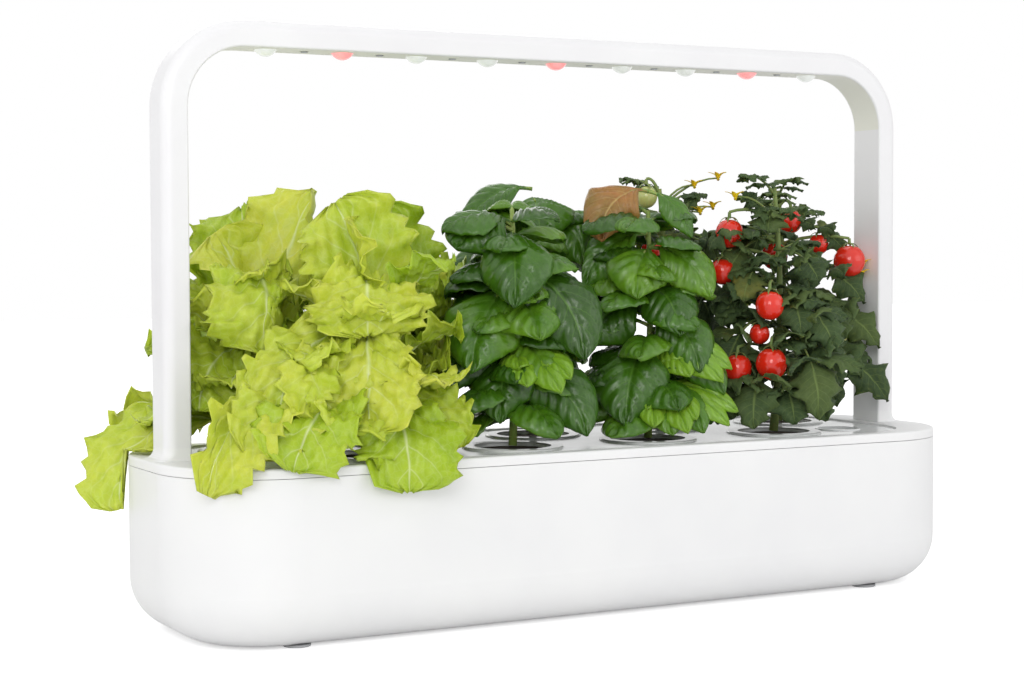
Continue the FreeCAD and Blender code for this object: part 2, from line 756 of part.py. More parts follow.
def arm_lead():
    """Straight conductor inside the right-hand arm, with a contact block at each end."""
    low = post_base_seam - spigot_length + 2
    high = post_top_seam - spigot_length - 2
    wire = cylinder(lead_radius, low, high, post_centre())
    inner = post_outer_face - post_thickness + post_wall + fit_gap + spigot_wall
    depth = post_thickness - 2 * (post_wall + fit_gap + spigot_wall)
    lower = Part.makeBox(depth, 12, 6, Vector(inner, -6, low - 2))
    upper_inner = post_outer_face - post_thickness + post_wall
    upper = Part.makeBox(post_thickness - 2 * post_wall, 12, 4, Vector(upper_inner, -6, high - 4))
    return wire.fuse([lower, upper])


def bow_lead():
    """From the bow's right-hand spigot up the leg and round the corner to the LED board."""
    x = post_centre()
    low = post_top_seam - spigot_length + 2
    top = board_low() + board_thickness / 2
    end = Vector(half_board(), 0, top)
    start = Vector(x, 0, low)
    inner = post_outer_face - post_thickness + post_wall + fit_gap + spigot_wall
    depth = post_thickness - 2 * (post_wall + fit_gap + spigot_wall)
    block = Part.makeBox(depth, 12, 6, Vector(inner, -6, low - 2))
    corner = bow_outer_radius - post_thickness / 2
    bend = corner * math.tan(math.pi / 8)
    middle_z = lamp_top - post_thickness / 2
    points = [start, Vector(x, 0, middle_z - corner + bend), Vector(x - corner + bend, 0, middle_z), end]
    return lead(points).fuse(block)


# Planting

def station(leaf, share):
    """Point on a midrib that bends steadily downwards, and the directions across and square to the blade there."""
    start = math.radians(leaf["rise"])
    bend = math.radians(leaf["droop"])
    angle = start - bend * share
    out = leaf["length"] / bend * (math.sin(start) - math.sin(angle))
    up = leaf["length"] / bend * (math.cos(angle) - math.cos(start))
    heading = turned(leaf["azimuth"])
    point = leaf["root"] + heading * out + Vector(0, 0, up)
    roll = math.radians(leaf.get("roll", 0)) * min(2 * share, 1)
    level = turned(leaf["azimuth"] + 90)
    square = heading * -math.sin(angle) + Vector(0, 0, math.cos(angle))
    across = level * math.cos(roll) + square * math.sin(roll)
    return point, across, square * math.cos(roll) - level * math.sin(roll)


def turned(azimuth):
    """Level unit vector at an azimuth in degrees."""
    angle = math.radians(azimuth)
    return Vector(math.cos(angle), math.sin(angle), 0)


def polygon_face(points):
    points = list(points)
    return Part.Face(Part.makePolygon(points + points[:1]))


def closed_solid(faces):
    shell = Part.makeShell(faces)
    shell.sewShape()
    solid = Part.Solid(shell)
    if solid.Volume < 0:
        solid.reverse()
    return solid


def blade(leaf, form):
    """Closed leaf blade: a thin chevron section carried along its midrib to a pointed tip."""
    thick = form["thickness"] / 2
    rings = []
    for share, spread in form["outline"]:
        point, across, normal = station(leaf, share)
        half = leaf["width"] * spread / 2
        lift = normal * (form["cupping"] * half)
        rings.append((point - across * half + lift, point + normal * thick,
                      point + across * half + lift, point - normal * thick))
    tip = station(leaf, 1)[0]
    faces = [polygon_face(rings[0])]
    for ring, following in zip(rings, rings[1:]):
        for k in range(4):
            after = (k + 1) % 4
            edge, other = (k, after) if k % 2 == 0 else (after, k)
            faces.append(polygon_face((ring[k], ring[after], following[other])))
            faces.append(polygon_face((ring[edge], following[after], following[k])))
    for k in range(4):
        faces.append(polygon_face((rings[-1][k], rings[-1][(k + 1) % 4], tip)))
    return closed_solid(faces)


def stem(low, high, low_radius, high_radius):
    """Tapered round stem between two points."""
    run = high - low
    return Part.makeCone(low_radius, high_radius, run.Length, low, run)


def mix(first, last, share):
    return first + (last - first) * share


def territory(number, x, y):
    """Upright space that a plant keeps to, so that each cup lifts out past its neighbours."""
    side = 1 if y > 0 else -1
    last = len(cup_places())
    far = foliage_reach
    half = cup_pitch - leaf_gap / 2
    shoulder = cup_pitch ** 2 / (4 * cup_row_offset) - abs(y) + leaf_gap / 2
    apex = -cup_pitch ** 2 / (4 * cup_row_offset) - abs(y) + leaf_gap
    reach = {1: (far, half), 2: (far, half), last - 1: (half, far), last: (half, far)}.get(number, (half, half))
    ends = []
    for direction, limit in ((-1, reach[0]), (1, reach[1])):
        side_points = [(direction * half, shoulder)]
        if limit == far:
            side_points.append((direction * far, shoulder))
        if limit == far and number in (1, last):
            side_points = [(direction * far, apex)]
        side_points.append((direction * limit, far))
        ends.append(side_points)
    points = list(reversed(ends[0])) + [(0, apex)] + ends[1]
    corners = [Vector(x + px, y + side * py, foliage_low) for px, py in points]
    return polygon_face(corners).extrude(Vector(0, 0, foliage_high - foliage_low))


def kept_clear():
    """Rim, tub and lamp posts, grown by a small gap, that no leaf may enter."""
    grown = foliage_clearance
    tub = slab(tub_length / 2 + grown, tub_depth / 2 + grown, tub_corner_radius + grown, foliage_low - 1,
               rim_top + foliage_clearance)
    size = Vector(post_thickness + 2 * grown, post_width + 2 * grown, foliage_high)
    blocks = [tub]
    for end in (-1, 1):
        corner = Vector(end * post_centre() - size.x / 2, -size.y / 2, foliage_low - 1)
        blocks.append(Part.makeBox(size.x, size.y, size.z, corner))
    return blocks


def trimmed(pieces, number, x, y):
    """Leaves and stems joined, cut to the plant's own space, and rooted in its soil."""
    crown = cylinder(crown_radius, soil_top(), rim_top + foliage_clearance + crown_height, x, y)
    fruit_room = [Part.makeSphere(radius + fruit_gap, centre) for centre, radius in fruit_centres(number, x, y)]
    foliage = pieces[0].fuse(pieces[1:]).common(territory(number, x, y))
    foliage = foliage.cut(Part.makeCompound(kept_clear() + fruit_room))
    plant = crown.fuse(foliage)
    return max(plant.Solids, key=lambda solid: solid.Volume)


def soil_top():
    return cup_top() - soil_drop


def leaf_root(x, y, height=0.0):
    """Place on a plant's axis where a leaf starts, above the crown's foot."""
    return Vector(x, y, rim_top + foliage_clearance + leaf_seat + height)


def leaf_to(root, right, near, up, droop, width):
    """Leaf from its foot to a tip given across, towards the front and above the foot."""
    reach = turned(front_azimuth) * near + turned(front_azimuth + 90) * right
    half = math.radians(droop / 2)
    aside = math.atan2(right, near)
    return {"root": root, "azimuth": front_azimuth + math.degrees(aside), "roll": leaf_roll * math.sin(aside),
            "rise": math.degrees(math.atan2(up, reach.Length)) + droop / 2, "droop": droop,
            "length": math.hypot(reach.Length, up) * half / math.sin(half), "width": width}


def shown_leaves(rows, number, x, y):
    return [leaf_to(leaf_root(x, y, foot), right, near, up - foot, droop, width)
            for owner, foot, right, near, up, droop, width in rows if owner == number]


def lettuce(number, x, y):
    """Loose head: the shown leaves fold over in front, and a fan of plainer ones stands behind."""
    low_radius, high_radius, height = lettuce_core
    leaves = shown_leaves(lettuce_shown, number, x, y)
    rows = lettuce_back + ((lettuce_hung,) if number == 1 else ())
    for azimuth, rise, droop, length, width in rows:
        leaves.append({"root": leaf_root(x, y), "azimuth": azimuth, "rise": rise, "droop": droop,
                       "length": length, "width": width})
    pieces = [stem(leaf_root(x, y), leaf_root(x, y, height), low_radius, high_radius)]
    return trimmed(pieces + [blade(leaf, lettuce_form) for leaf in leaves], number, x, y)


def back_leaves(tiers, rows, number, x, y):
    """Tiers of leaves on the side away from the front, each tier turned from the last."""
    leaves = []
    for tier, height in enumerate(tiers):
        for azimuth, length, width in rows:
            leaves.append({"root": leaf_root(x, y, height), "azimuth": azimuth + tier_turn * tier + number,
                           "rise": tier_rise, "droop": tier_droop, "length": length, "width": width})
    return leaves


def basil(number, x, y):
    """Upright stem with domed leaves that hang from it on short stalks."""
    pieces = [stem(leaf_root(x, y), leaf_root(x, y, basil_height), basil_stem, basil_stem / 2)]
    leaves = shown_leaves(basil_shown, number, x, y) + back_leaves(basil_tiers, basil_back, number, x, y)
    pieces += [blade(leaf, basil_form) for leaf in leaves]
    return trimmed(pieces, number, x, y)


def tomato(number, x, y):
    """Upright stem with compound leaves, and a stalk for each fruit."""
    pieces = [stem(leaf_root(x, y), leaf_root(x, y, tomato_height), tomato_stem, tomato_stem / 2)]
    leaves = shown_leaves(tomato_shown, number, x, y) + back_leaves(tomato_tiers, tomato_back, number, x, y)
    for leaf in leaves:
        pieces.append(blade(leaf, tomato_form))
        for share in leaflet_shares:
            joint = station(leaf, share)[0]
            for side in (-1, 1):
                leaflet = dict(leaf, root=joint, azimuth=leaf["azimuth"] + side * leaflet_turn,
                               rise=leaflet_rise, droop=leaflet_droop, length=leaf["length"] * leaflet_length,
                               width=leaf["width"] * leaflet_width)
                pieces.append(blade(leaflet, tomato_form))
    for hook, radius in fruit_centres(number, x, y):
        stalk_end = hook + Vector(0, 0, radius + fruit_gap)
        bend = hook + Vector(0, 0, radius + fruit_stalk_drop)
        foot = Vector(x, y, min(hook.z + radius, pieces[0].BoundBox.ZMax - tomato_stem))
        pieces.append(stem(foot, bend, fruit_stalk, fruit_stalk * stalk_taper))
        pieces.append(Part.makeSphere(fruit_stalk * stalk_taper, bend))
        pieces.append(stem(bend, stalk_end, fruit_stalk * stalk_taper, fruit_stalk * stalk_taper ** 2))
    return trimmed(pieces, number, x, y)


def fruits(number, x, y):
    """Cherry tomatoes below their stalks."""
    return [Part.makeSphere(radius, centre) for centre, radius in fruit_centres(number, x, y)]


def fruit_centres(number, x, y):
    ahead = turned(front_azimuth)
    across = turned(front_azimuth + 90)
    return [(leaf_root(x, y, up) + across * right + ahead * near, radius)
            for owner, right, near, up, radius in fruit_rows if owner == number]


def build():
    os.makedirs("parts", exist_ok=True)
    plant_kinds = (lettuce, basil, tomato)
    save("tub_shell", tub_shell())
    save("feet", *feet())
    save("rim", rim())
    save("water_tank", water_tank())
    save("tray", tray())
    save("float_well", float_well())
    save("water_float", water_float())
    for number, x, y in cup_places():
        save("cup_%d" % number, cup(x, y))
        save("soil_%d" % number, soil(x, y))
    for number, x, y in cup_places():
        kind = plant_kinds[(number - 1) // 3]
        save("%s_%d" % (kind.__name__, number), kind(number, x, y))
        if fruit_centres(number, x, y):
            save("fruits_%d" % number, *fruits(number, x, y))
    right_arm = arm()
    save("right_arm", right_arm)
    save("left_arm", mirrored(right_arm))
    save("lamp_housing", lamp_housing())
    save("lamp_cover", lamp_cover())
    save("led_board", led_board())
    save("heat_spreader", heat_spreader())
    save("lenses_clear", *[lens(x) for index, x in led_places() if index not in red_leds])
    save("lenses_red", *[lens(x) for index, x in led_places() if index in red_leds])
    save("leds", *[led(x) for _, x in led_places()])
    save("cover_screws", *[cover_screw(x) for x in screw_places()])
    save("control_board", control_board())
    save("power_jack", power_jack())
    save("input_lead", input_lead())
    save("lamp_lead_base", lamp_lead_base())
    save("arm_lead", arm_lead())
    save("bow_lead", bow_lead())


build()
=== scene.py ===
import math

import bpy
import numpy as np
from mathutils import Matrix


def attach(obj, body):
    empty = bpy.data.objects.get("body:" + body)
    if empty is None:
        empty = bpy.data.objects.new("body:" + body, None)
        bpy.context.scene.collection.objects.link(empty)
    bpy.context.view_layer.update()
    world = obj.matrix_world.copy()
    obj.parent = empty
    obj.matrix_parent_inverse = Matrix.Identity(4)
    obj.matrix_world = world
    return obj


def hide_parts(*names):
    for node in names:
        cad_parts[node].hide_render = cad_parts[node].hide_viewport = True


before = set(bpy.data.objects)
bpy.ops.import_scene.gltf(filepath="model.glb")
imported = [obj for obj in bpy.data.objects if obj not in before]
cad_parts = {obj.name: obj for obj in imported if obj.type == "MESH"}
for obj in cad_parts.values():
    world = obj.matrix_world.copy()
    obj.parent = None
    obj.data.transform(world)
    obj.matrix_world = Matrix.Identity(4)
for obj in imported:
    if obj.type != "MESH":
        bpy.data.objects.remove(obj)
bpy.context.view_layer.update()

# Countertop garden: the dressed planting, finishes, light and camera. Metres, in the frame of the solids.
mm = 0.001
rng = np.random.default_rng(7)

# Cups: five at the back, four at the front, numbered from the left
cup_count = 9
middle_cup = 5
cup_pitch = 55 * mm
cup_row = 35 * mm
crown_height = 120.6 * mm
tub_half_length = 305 * mm
tub_half_depth = 94 * mm
tub_corner = 70 * mm
rim_height = 116.6 * mm
# Each inner leaf is turned this many degrees from the last
leaf_turn = 137.5
# Lamp posts: leaves stay inside this face where they are level with a post, and this far to its sides
post_inner_face = 275 * mm
post_half_width = 19 * mm

up_axis = np.array([0, 0, 1.0])
# A full turn in radians, rounded: the span of random phases and of the UV round a ring
full_turn = 6.28
# Tomato leaves draw their phase from a slightly shorter span
tomato_phase_span = 6
# Side veins slant forward by this share of a blade's length
vein_slant = 0.30
# Material slots of a plant: blades, stalks, then the aged leaf or the petals
blade_slot, stalk_slot, accent_slot = 0, 1, 2
# Points round a plant's main stem, and round its stalks
stem_sides = 9
stalk_sides = 6


def cup_centre(number):
    """Cups alternate: odd numbers stand at the back, even ones at the front."""
    row = cup_row if number % 2 else -cup_row
    return np.array([(number - middle_cup) * cup_pitch, row, 0.0])


# Meshes: every surface is a grid of points worked out as whole arrays

class Parts:
    """Collects closed pieces of one object: points, faces, UV, a tint per point and a material index."""

    def __init__(self):
        self.points = []
        self.faces = []
        self.uvs = []
        self.tints = []
        self.slots = []
        self.count = 0

    def add(self, points, faces, uv, tint, slot):
        self.points.append(points)
        self.faces.append(faces + self.count)
        self.uvs.append(uv)
        self.tints.append(np.full(len(points), tint) if np.isscalar(tint) else tint)
        self.slots.append(np.full(len(faces), slot))
        self.count += len(points)


def build(name, parts, materials):
    """Mesh object at the origin from the collected pieces; every face has four corners."""
    points = np.concatenate(parts.points)
    faces = np.concatenate(parts.faces)
    uv = np.concatenate(parts.uvs)
    tint = np.concatenate(parts.tints)
    slots = np.concatenate(parts.slots)
    sizes = np.full(len(faces), 4)
    starts = np.concatenate([[0], np.cumsum(sizes)[:-1]])
    corners = faces.ravel()
    mesh = bpy.data.meshes.new(name)
    mesh.vertices.add(len(points))
    mesh.vertices.foreach_set("co", points.ravel())
    mesh.loops.add(len(corners))
    mesh.loops.foreach_set("vertex_index", corners.astype(np.int32))
    mesh.polygons.add(len(faces))
    mesh.polygons.foreach_set("loop_start", starts.astype(np.int32))
    mesh.polygons.foreach_set("loop_total", sizes.astype(np.int32))
    mesh.polygons.foreach_set("material_index", slots.astype(np.int32))
    mesh.polygons.foreach_set("use_smooth", np.ones(len(faces), bool))
    layer = mesh.uv_layers.new(name="UVMap")
    layer.data.foreach_set("uv", uv[corners].ravel())
    attribute = mesh.attributes.new("tint", "FLOAT", "POINT")
    attribute.data.foreach_set("value", tint)
    mesh.update(calc_edges=True)
    mesh.validate()
    for finish in materials:
        mesh.materials.append(finish)
    piece = bpy.data.objects.new(name, mesh)
    bpy.context.scene.collection.objects.link(piece)
    return piece


def sheet_faces(rows, columns):
    """Quads of a closed thin sheet: upper grid, lower grid and the band that joins their edges."""
    index = np.arange(rows * columns).reshape(rows, columns)
    shift = rows * columns
    top = np.stack([index[:-1, :-1], index[:-1, 1:], index[1:, 1:], index[1:, :-1]], -1).reshape(-1, 4)
    low = top[:, ::-1] + shift
    loop = np.concatenate([index[0, :-1], index[:-1, -1], index[-1, :0:-1], index[:0:-1, 0]])
    after = np.roll(loop, -1)
    band = np.stack([after, loop, loop + shift, after + shift], -1)
    return np.concatenate([top, low, band])[:, ::-1]


def ring_grid(turn, along):
    """Point numbers, quads and UV of rings of points, one ring for each value of along."""
    shape = (len(along), len(turn))
    index = np.arange(len(along) * len(turn)).reshape(shape)
    after = np.roll(index, -1, axis=1)
    faces = np.stack([index[1:], after[1:], after[:-1], index[:-1]], -1).reshape(-1, 4)
    uv = np.stack([np.broadcast_to(turn / full_turn, shape), np.broadcast_to(along[:, None], shape)], -1)
    return index, faces, uv.reshape(-1, 2)


def unit(vectors):
    return vectors / np.maximum(np.linalg.norm(vectors, axis=-1, keepdims=True), 1e-9)


def turned(azimuth):
    angle = math.radians(azimuth)
    return np.array([math.cos(angle), math.sin(angle), 0.0])


def midrib(leaf, u):
    """Arc that bends steadily down: its slope falls from rise by droop over the length.
    Gives its points and their slopes."""
    rise = math.radians(leaf["rise"])
    droop = math.radians(leaf["droop"])
    angle = rise - droop * u
    out = leaf["length"] / droop * (math.sin(rise) - np.sin(angle))
    up = leaf["length"] / droop * (np.cos(angle) - math.cos(rise))
    heading = turned(leaf["azimuth"])
    points = leaf["root"] + out[:, None] * heading + up[:, None] * up_axis
    return points, angle


def leaf_points(leaf, form, keep_in):
    """Blade over its midrib. Across it, v runs from edge to edge; the height over the midrib's plane is
    cupping times v squared, plus swellings between side veins, plus a ruffle that grows towards the edge."""
    rows, columns = form["grid"]
    u = np.linspace(0, 1, rows)
    v = np.linspace(-1, 1, columns)
    centre, angle = midrib(leaf, u)
    heading = turned(leaf["azimuth"])
    side = turned(leaf["azimuth"] + 90)
    normal = -np.sin(angle)[:, None] * heading + np.cos(angle)[:, None] * up_axis
    roll = np.radians(leaf["roll"]) * np.minimum(u * 2, 1)
    across = side * np.cos(roll)[:, None] + normal * np.sin(roll)[:, None]
    normal = normal * np.cos(roll)[:, None] - side * np.sin(roll)[:, None]
    phase = leaf["phase"]
    sign = np.sign(v)[None, :]
    uu = u[:, None]
    vv = v[None, :]
    edge = np.abs(vv)
    half = leaf["width"] / 2 * np.interp(u, form["shares"], form["spread"])[:, None]
    lobe_shift, lobe_power = 0.4, 1.5
    lobes = form["lobe"] * np.abs(np.sin(math.pi * form["lobes"] * uu + sign * lobe_shift)) ** lobe_power
    notches = form["notch"] * np.sin(2 * math.pi * form["teeth"] * uu + phase + sign)
    half = half * (1 - lobes * edge ** 2 + notches * edge ** 3)
    vein = form["veins"] * (uu - vein_slant * edge) * math.pi
    swelling = np.abs(np.sin(vein + 0.3 * sign)) * np.sin(math.pi * np.clip(edge, 0, 1)) ** 0.7
    # Two waves that cross give the blisters
    crossing = np.sin(23 * uu + 7 * vv + phase) * np.sin(17 * vv - 9 * uu + 2 * phase)
    # The ruffle is a wave along the edge with a finer, weaker one over it
    fine_share, fine_waves, ruffle_power = 0.55, 2.3, 2.2
    ruffle = edge ** ruffle_power * (
        np.sin(2 * math.pi * form["waves"] * uu + phase + 1.3 * sign)
        + fine_share * np.sin(2 * math.pi * fine_waves * form["waves"] * uu + 2.1 * phase - sign))
    sway_waves = 1.1
    sway = form["sway"] * vv * np.sin(2 * math.pi * sway_waves * uu + phase)
    grown = np.clip(uu * 3, 0, 1)
    width = leaf["width"]
    relief = form["quilt"] * swelling + form["blister"] * crossing + form["ruffle"] * ruffle + sway
    groove_reach, rib_reach = 0.09, 0.1
    height = (form["cupping"] * half * edge ** 2 + width * grown * relief
              - width * form["groove"] * np.exp(-(vv / groove_reach) ** 2) * grown)
    middle = centre[:, None] + across[:, None] * (half * vv)[..., None] + normal[:, None] * height[..., None]
    middle = keep_in(middle.reshape(-1, 3)).reshape(rows, columns, 3)
    du = np.gradient(middle, axis=0)
    dv = np.gradient(middle, axis=1)
    facing = unit(np.cross(du, dv))
    facing *= np.where((facing * normal[:, None]).sum(-1, keepdims=True) < 0, -1, 1)
    edge_thinning, rib_taper, upper_share = 0.75, 0.8, 0.6
    thick = form["thickness"] * (1 - edge_thinning * edge ** 4) / 2
    thick = thick * (1 + form["rib"] * np.exp(-(vv / rib_reach) ** 2) * (1 - rib_taper * uu))
    upper = middle + facing * (thick * upper_share)[..., None]
    lower = middle - facing * thick[..., None]
    points = np.concatenate([upper.reshape(-1, 3), lower.reshape(-1, 3)])
    shape = (rows, columns)
    grid = np.stack([np.broadcast_to((vv + 1) / 2, shape), np.broadcast_to(uu, shape)], -1)
    return points, np.concatenate([grid.reshape(-1, 2)] * 2)


def add_leaf(parts, leaf, form, keep_in, slot=blade_slot):
    leaf.setdefault("phase", rng.uniform(0, full_turn))
    points, uv = leaf_points(leaf, form, keep_in)
    parts.add(points, sheet_faces(*form["grid"]), uv, leaf.get("tint", rng.uniform(0, 1)), slot)


def tube(points, radii, sides):
    """Round stem along points: rings square to the path, narrowed to a blunt tip at both ends."""
    tip_radius = 0.01 * mm
    points = np.asarray(points, float)
    ahead = unit(np.gradient(points, axis=0))
    # A direction that is never along the stem, to start the rings from
    guide = np.array([0.31, 0.17, 0.93]) if abs(ahead[0][2]) < 0.8 else np.array([0.94, 0.3, 0.1])
    first = unit(np.cross(ahead, guide))
    second = np.cross(ahead, first)
    points = np.concatenate([points[:1], points, points[-1:]])
    radii = np.concatenate([[tip_radius], radii, [tip_radius]])
    first = np.concatenate([first[:1], first, first[-1:]])
    second = np.concatenate([second[:1], second, second[-1:]])
    turn = np.linspace(0, 2 * math.pi, sides, endpoint=False)
    ring = np.cos(turn)[None, :, None] * first[:, None] + np.sin(turn)[None, :, None] * second[:, None]
    surface = points[:, None] + ring * radii[:, None, None]
    _, faces, uv = ring_grid(turn, np.linspace(0, 1, len(points)))
    return surface.reshape(-1, 3), faces, uv


def bent(start, end, lift, steps=7):
    """Points of a stem from start to end, bowed by lift."""
    share = np.linspace(0, 1, steps)[:, None]
    return start + (end - start) * share + 4 * share * (1 - share) * np.asarray(lift)


def add_stem(parts, start, end, lift, foot_radius, top_radius, slot, sides):
    points = bent(np.asarray(start, float), np.asarray(end, float), lift)
    surface, faces, uv = tube(points, np.linspace(foot_radius, top_radius, len(points)), sides)
    parts.add(surface, faces, uv, rng.uniform(0.3, 0.7), slot)


def add_leaf_stalk(parts, path, foot_radius, tip_radius):
    """Thin stalk along part of a leaf's midrib; radii in millimetres."""
    surface, faces, uv = tube(path, np.linspace(foot_radius, tip_radius, len(path)) * mm, stalk_sides)
    parts.add(surface, faces, uv, 0.5, stalk_slot)


def ball(centre, radius, axis, profile, ribs, rows=18, sides=24):
    """Fruit: a sphere whose radius follows profile(t) from top to bottom, with soft ribs round its axis."""
    pole_gap = 0.004
    t = np.linspace(0.0, math.pi, rows)
    t[0] = pole_gap
    t[-1] = math.pi - pole_gap
    turn = np.linspace(0, 2 * math.pi, sides, endpoint=False)
    r = radius * profile(t)[:, None] * (1 + ribs * np.cos(5 * turn)[None, :] * np.sin(t)[:, None])
    local = np.stack([r * np.sin(t)[:, None] * np.cos(turn), r * np.sin(t)[:, None] * np.sin(turn),
                      r * np.cos(t)[:, None]], -1)
    up = unit(np.asarray(axis, float))
    first = unit(np.cross(up, [0.3, 0.9, 0.1]))
    second = np.cross(up, first)
    surface = centre + local @ np.stack([first, second, up])
    index, faces, uv = ring_grid(turn, t / math.pi)
    caps = np.concatenate([fan(index[0])[:, ::-1], fan(index[-1])])
    return surface.reshape(-1, 3), np.concatenate([faces, caps]), uv


def fan(ring):
    """Quads that close a small ring of an even number of points."""
    n = len(ring)
    half = n // 2
    k = np.arange(half - 1)
    return np.stack([ring[k], ring[k + 1], ring[(n - 2 - k) % n], ring[(n - 1 - k) % n]], -1)


# Finishes

def linear(code):
    """sRGB hex to the linear colour that shaders work in."""
    values = [int(code[i:i + 2], 16) / 255 for i in (1, 3, 5)]
    return tuple(v / 12.92 if v <= 0.04045 else ((v + 0.055) / 1.055) ** 2.4 for v in values) + (1.0,)


def add(tree, kind, settings=None, **inputs):
    """One node with its settings; an input is a value or another node's output, and i3 is input number 3."""
    node = tree.nodes.new(kind)
    for key, value in (settings or {}).items():
        setattr(node, key, value)
    for key, value in inputs.items():
        numbered = key[0] == "i" and key[1:].isdigit()
        socket = node.inputs[int(key[1:])] if numbered else node.inputs[key.replace("_", " ")]
        if isinstance(value, bpy.types.NodeSocket):
            tree.links.new(value, socket)
        else:
            socket.default_value = value
    return node


def finish(name, **sockets):
    """Material with one Principled surface; sockets are set on it directly."""
    made = bpy.data.materials.new(name)
    made.use_nodes = True
    tree = made.node_tree
    tree.nodes.clear()
    surface = add(tree, "ShaderNodeBsdfPrincipled", None, **sockets)
    add(tree, "ShaderNodeOutputMaterial", None, Surface=surface.outputs[0])
    return made, tree, surface


def feed(tree, surface, **sockets):
    """Links outputs to a surface's sockets."""
    for key, value in sockets.items():
        tree.links.new(value, surface.inputs[key.replace("_", " ")])


def ramp(tree, factor, stops):
    """Colour ramp from positions and hex colours."""
    node = add(tree, "ShaderNodeValToRGB", None, Fac=factor)
    elements = node.color_ramp.elements
    while len(elements) < len(stops):
        elements.new(0.5)
    for element, (place, code) in zip(elements, stops):
        element.position = place
        element.color = linear(code)
    return node.outputs["Color"]


def blend(tree, factor, first, second):
    settings = {"data_type": "RGBA", "blend_type": "MIX"}
    return add(tree, "ShaderNodeMix", settings, i0=factor, i6=first, i7=second).outputs[2]


def maths(tree, kind, first, second=0.0, third=0.0):
    return add(tree, "ShaderNodeMath", {"operation": kind}, i0=first, i1=second, i2=third).outputs[0]


def bump(tree, surface, height, strength, distance):
    node = add(tree, "ShaderNodeBump", None, Strength=strength, Distance=distance, Height=height)
    feed(tree, surface, Normal=node.outputs[0])


def object_place(tree):
    return add(tree, "ShaderNodeTexCoord").outputs["Object"]


def uv_axes(tree):
    """The UV map's two axes, as outputs 0 and 1."""
    return add(tree, "ShaderNodeSeparateXYZ", None, Vector=add(tree, "ShaderNodeUVMap").outputs[0]).outputs


def noise(tree, size, detail=3.0, rough=0.5):
    """Noise whose lumps are about size metres across, fixed to the piece."""
    node = add(tree, "ShaderNodeTexNoise", None, Vector=object_place(tree), Scale=1 / size, Detail=detail,
               Roughness=rough)
    return node.outputs["Fac"]


def moulded_abs(name, pale, deep, roughness, grain=0.5 * mm):
    """Injection moulded ABS: even and satin, with the fine spark texture of its tool."""
    made, tree, surface = finish(name, IOR=1.53)
    unevenness = 0.12
    wear = maths(tree, "MULTIPLY_ADD", noise(tree, 14 * mm), unevenness, roughness - unevenness / 2)
    colour = ramp(tree, noise(tree, 90 * mm), [(0.35, pale), (0.7, deep)])
    feed(tree, surface, Base_Color=colour, Roughness=wear)
    bump(tree, surface, noise(tree, grain), strength=0.10, distance=0.05 * mm)
    return made


def leaf_finish(name, blade, vein, dark, roughness, vein_count, speckle, relief, gloss):
    """Leaf lamina: pale midrib and side veins that branch forward, colour that drifts over the blade."""
    made, tree, surface = finish(name, IOR=1.42, Subsurface_Weight=0.22, Subsurface_Radius=(0.9, 1.0, 0.35),
                                 Subsurface_Scale=1.6 * mm, Coat_Weight=gloss, Coat_Roughness=0.22)

    def calc(kind, *values):
        return maths(tree, kind, *values)

    across, along = list(uv_axes(tree))[:2]
    tint = add(tree, "ShaderNodeAttribute", {"attribute_name": "tint"}).outputs["Fac"]
    edge = calc("ABSOLUTE", calc("MULTIPLY_ADD", across, 2.0, -1.0))
    drift = calc("MULTIPLY_ADD", noise(tree, 26 * mm), 0.5, calc("MULTIPLY", tint, 0.5))
    # Side veins: thin ridges of a wave along the blade, faded towards the edge
    slanted = calc("MULTIPLY_ADD", edge, -vein_slant, along)
    wave = calc("SINE", calc("MULTIPLY", slanted, vein_count * math.pi))
    side_vein = calc("POWER", calc("SUBTRACT", 1.0, calc("ABSOLUTE", wave)), 9.0)
    fade = calc("SUBTRACT", 1.0, edge)
    # The net of small veins between them
    net = add(tree, "ShaderNodeTexVoronoi", {"feature": "DISTANCE_TO_EDGE"}, Vector=object_place(tree),
              Scale=1 / (4.5 * mm)).outputs["Distance"]
    mesh_vein = calc("SUBTRACT", 1.0, calc("SMOOTH_MIN", calc("MULTIPLY", net, 9.0), 1.0, 0.1))
    rib_width = calc("MULTIPLY_ADD", along, -0.06, 0.085)
    rib = calc("SUBTRACT", 1.0, calc("MINIMUM", calc("DIVIDE", edge, rib_width), 1.0))
    veins = calc("MAXIMUM", rib, calc("MULTIPLY", calc("MULTIPLY", side_vein, fade), 0.75))
    veins = calc("MAXIMUM", veins, calc("MULTIPLY", mesh_vein, 0.12))
    colour = ramp(tree, drift, blade)
    colour = blend(tree, calc("MULTIPLY", noise(tree, 5 * mm), speckle), colour, linear(dark))
    colour = blend(tree, calc("MULTIPLY", veins, 0.8), colour, linear(vein))
    wear = calc("MULTIPLY_ADD", noise(tree, 6 * mm), 0.2, roughness)
    feed(tree, surface, Base_Color=colour, Roughness=wear)
    height = calc("MULTIPLY_ADD", veins, relief, calc("MULTIPLY", noise(tree, 2.4 * mm), 0.4))
    bump(tree, surface, height, strength=0.45, distance=0.5 * mm)
    return made


def stem_finish(name, low, high, roughness):
    """Green stalk: pale and faintly mottled."""
    made, tree, surface = finish(name, Roughness=roughness, IOR=1.42, Subsurface_Weight=0.15,
                                 Subsurface_Scale=1.2 * mm)
    feed(tree, surface, Base_Color=ramp(tree, noise(tree, 9 * mm), [(0.3, low), (0.7, high)]))
    bump(tree, surface, noise(tree, 0.9 * mm), strength=0.4, distance=0.15 * mm)
    return made


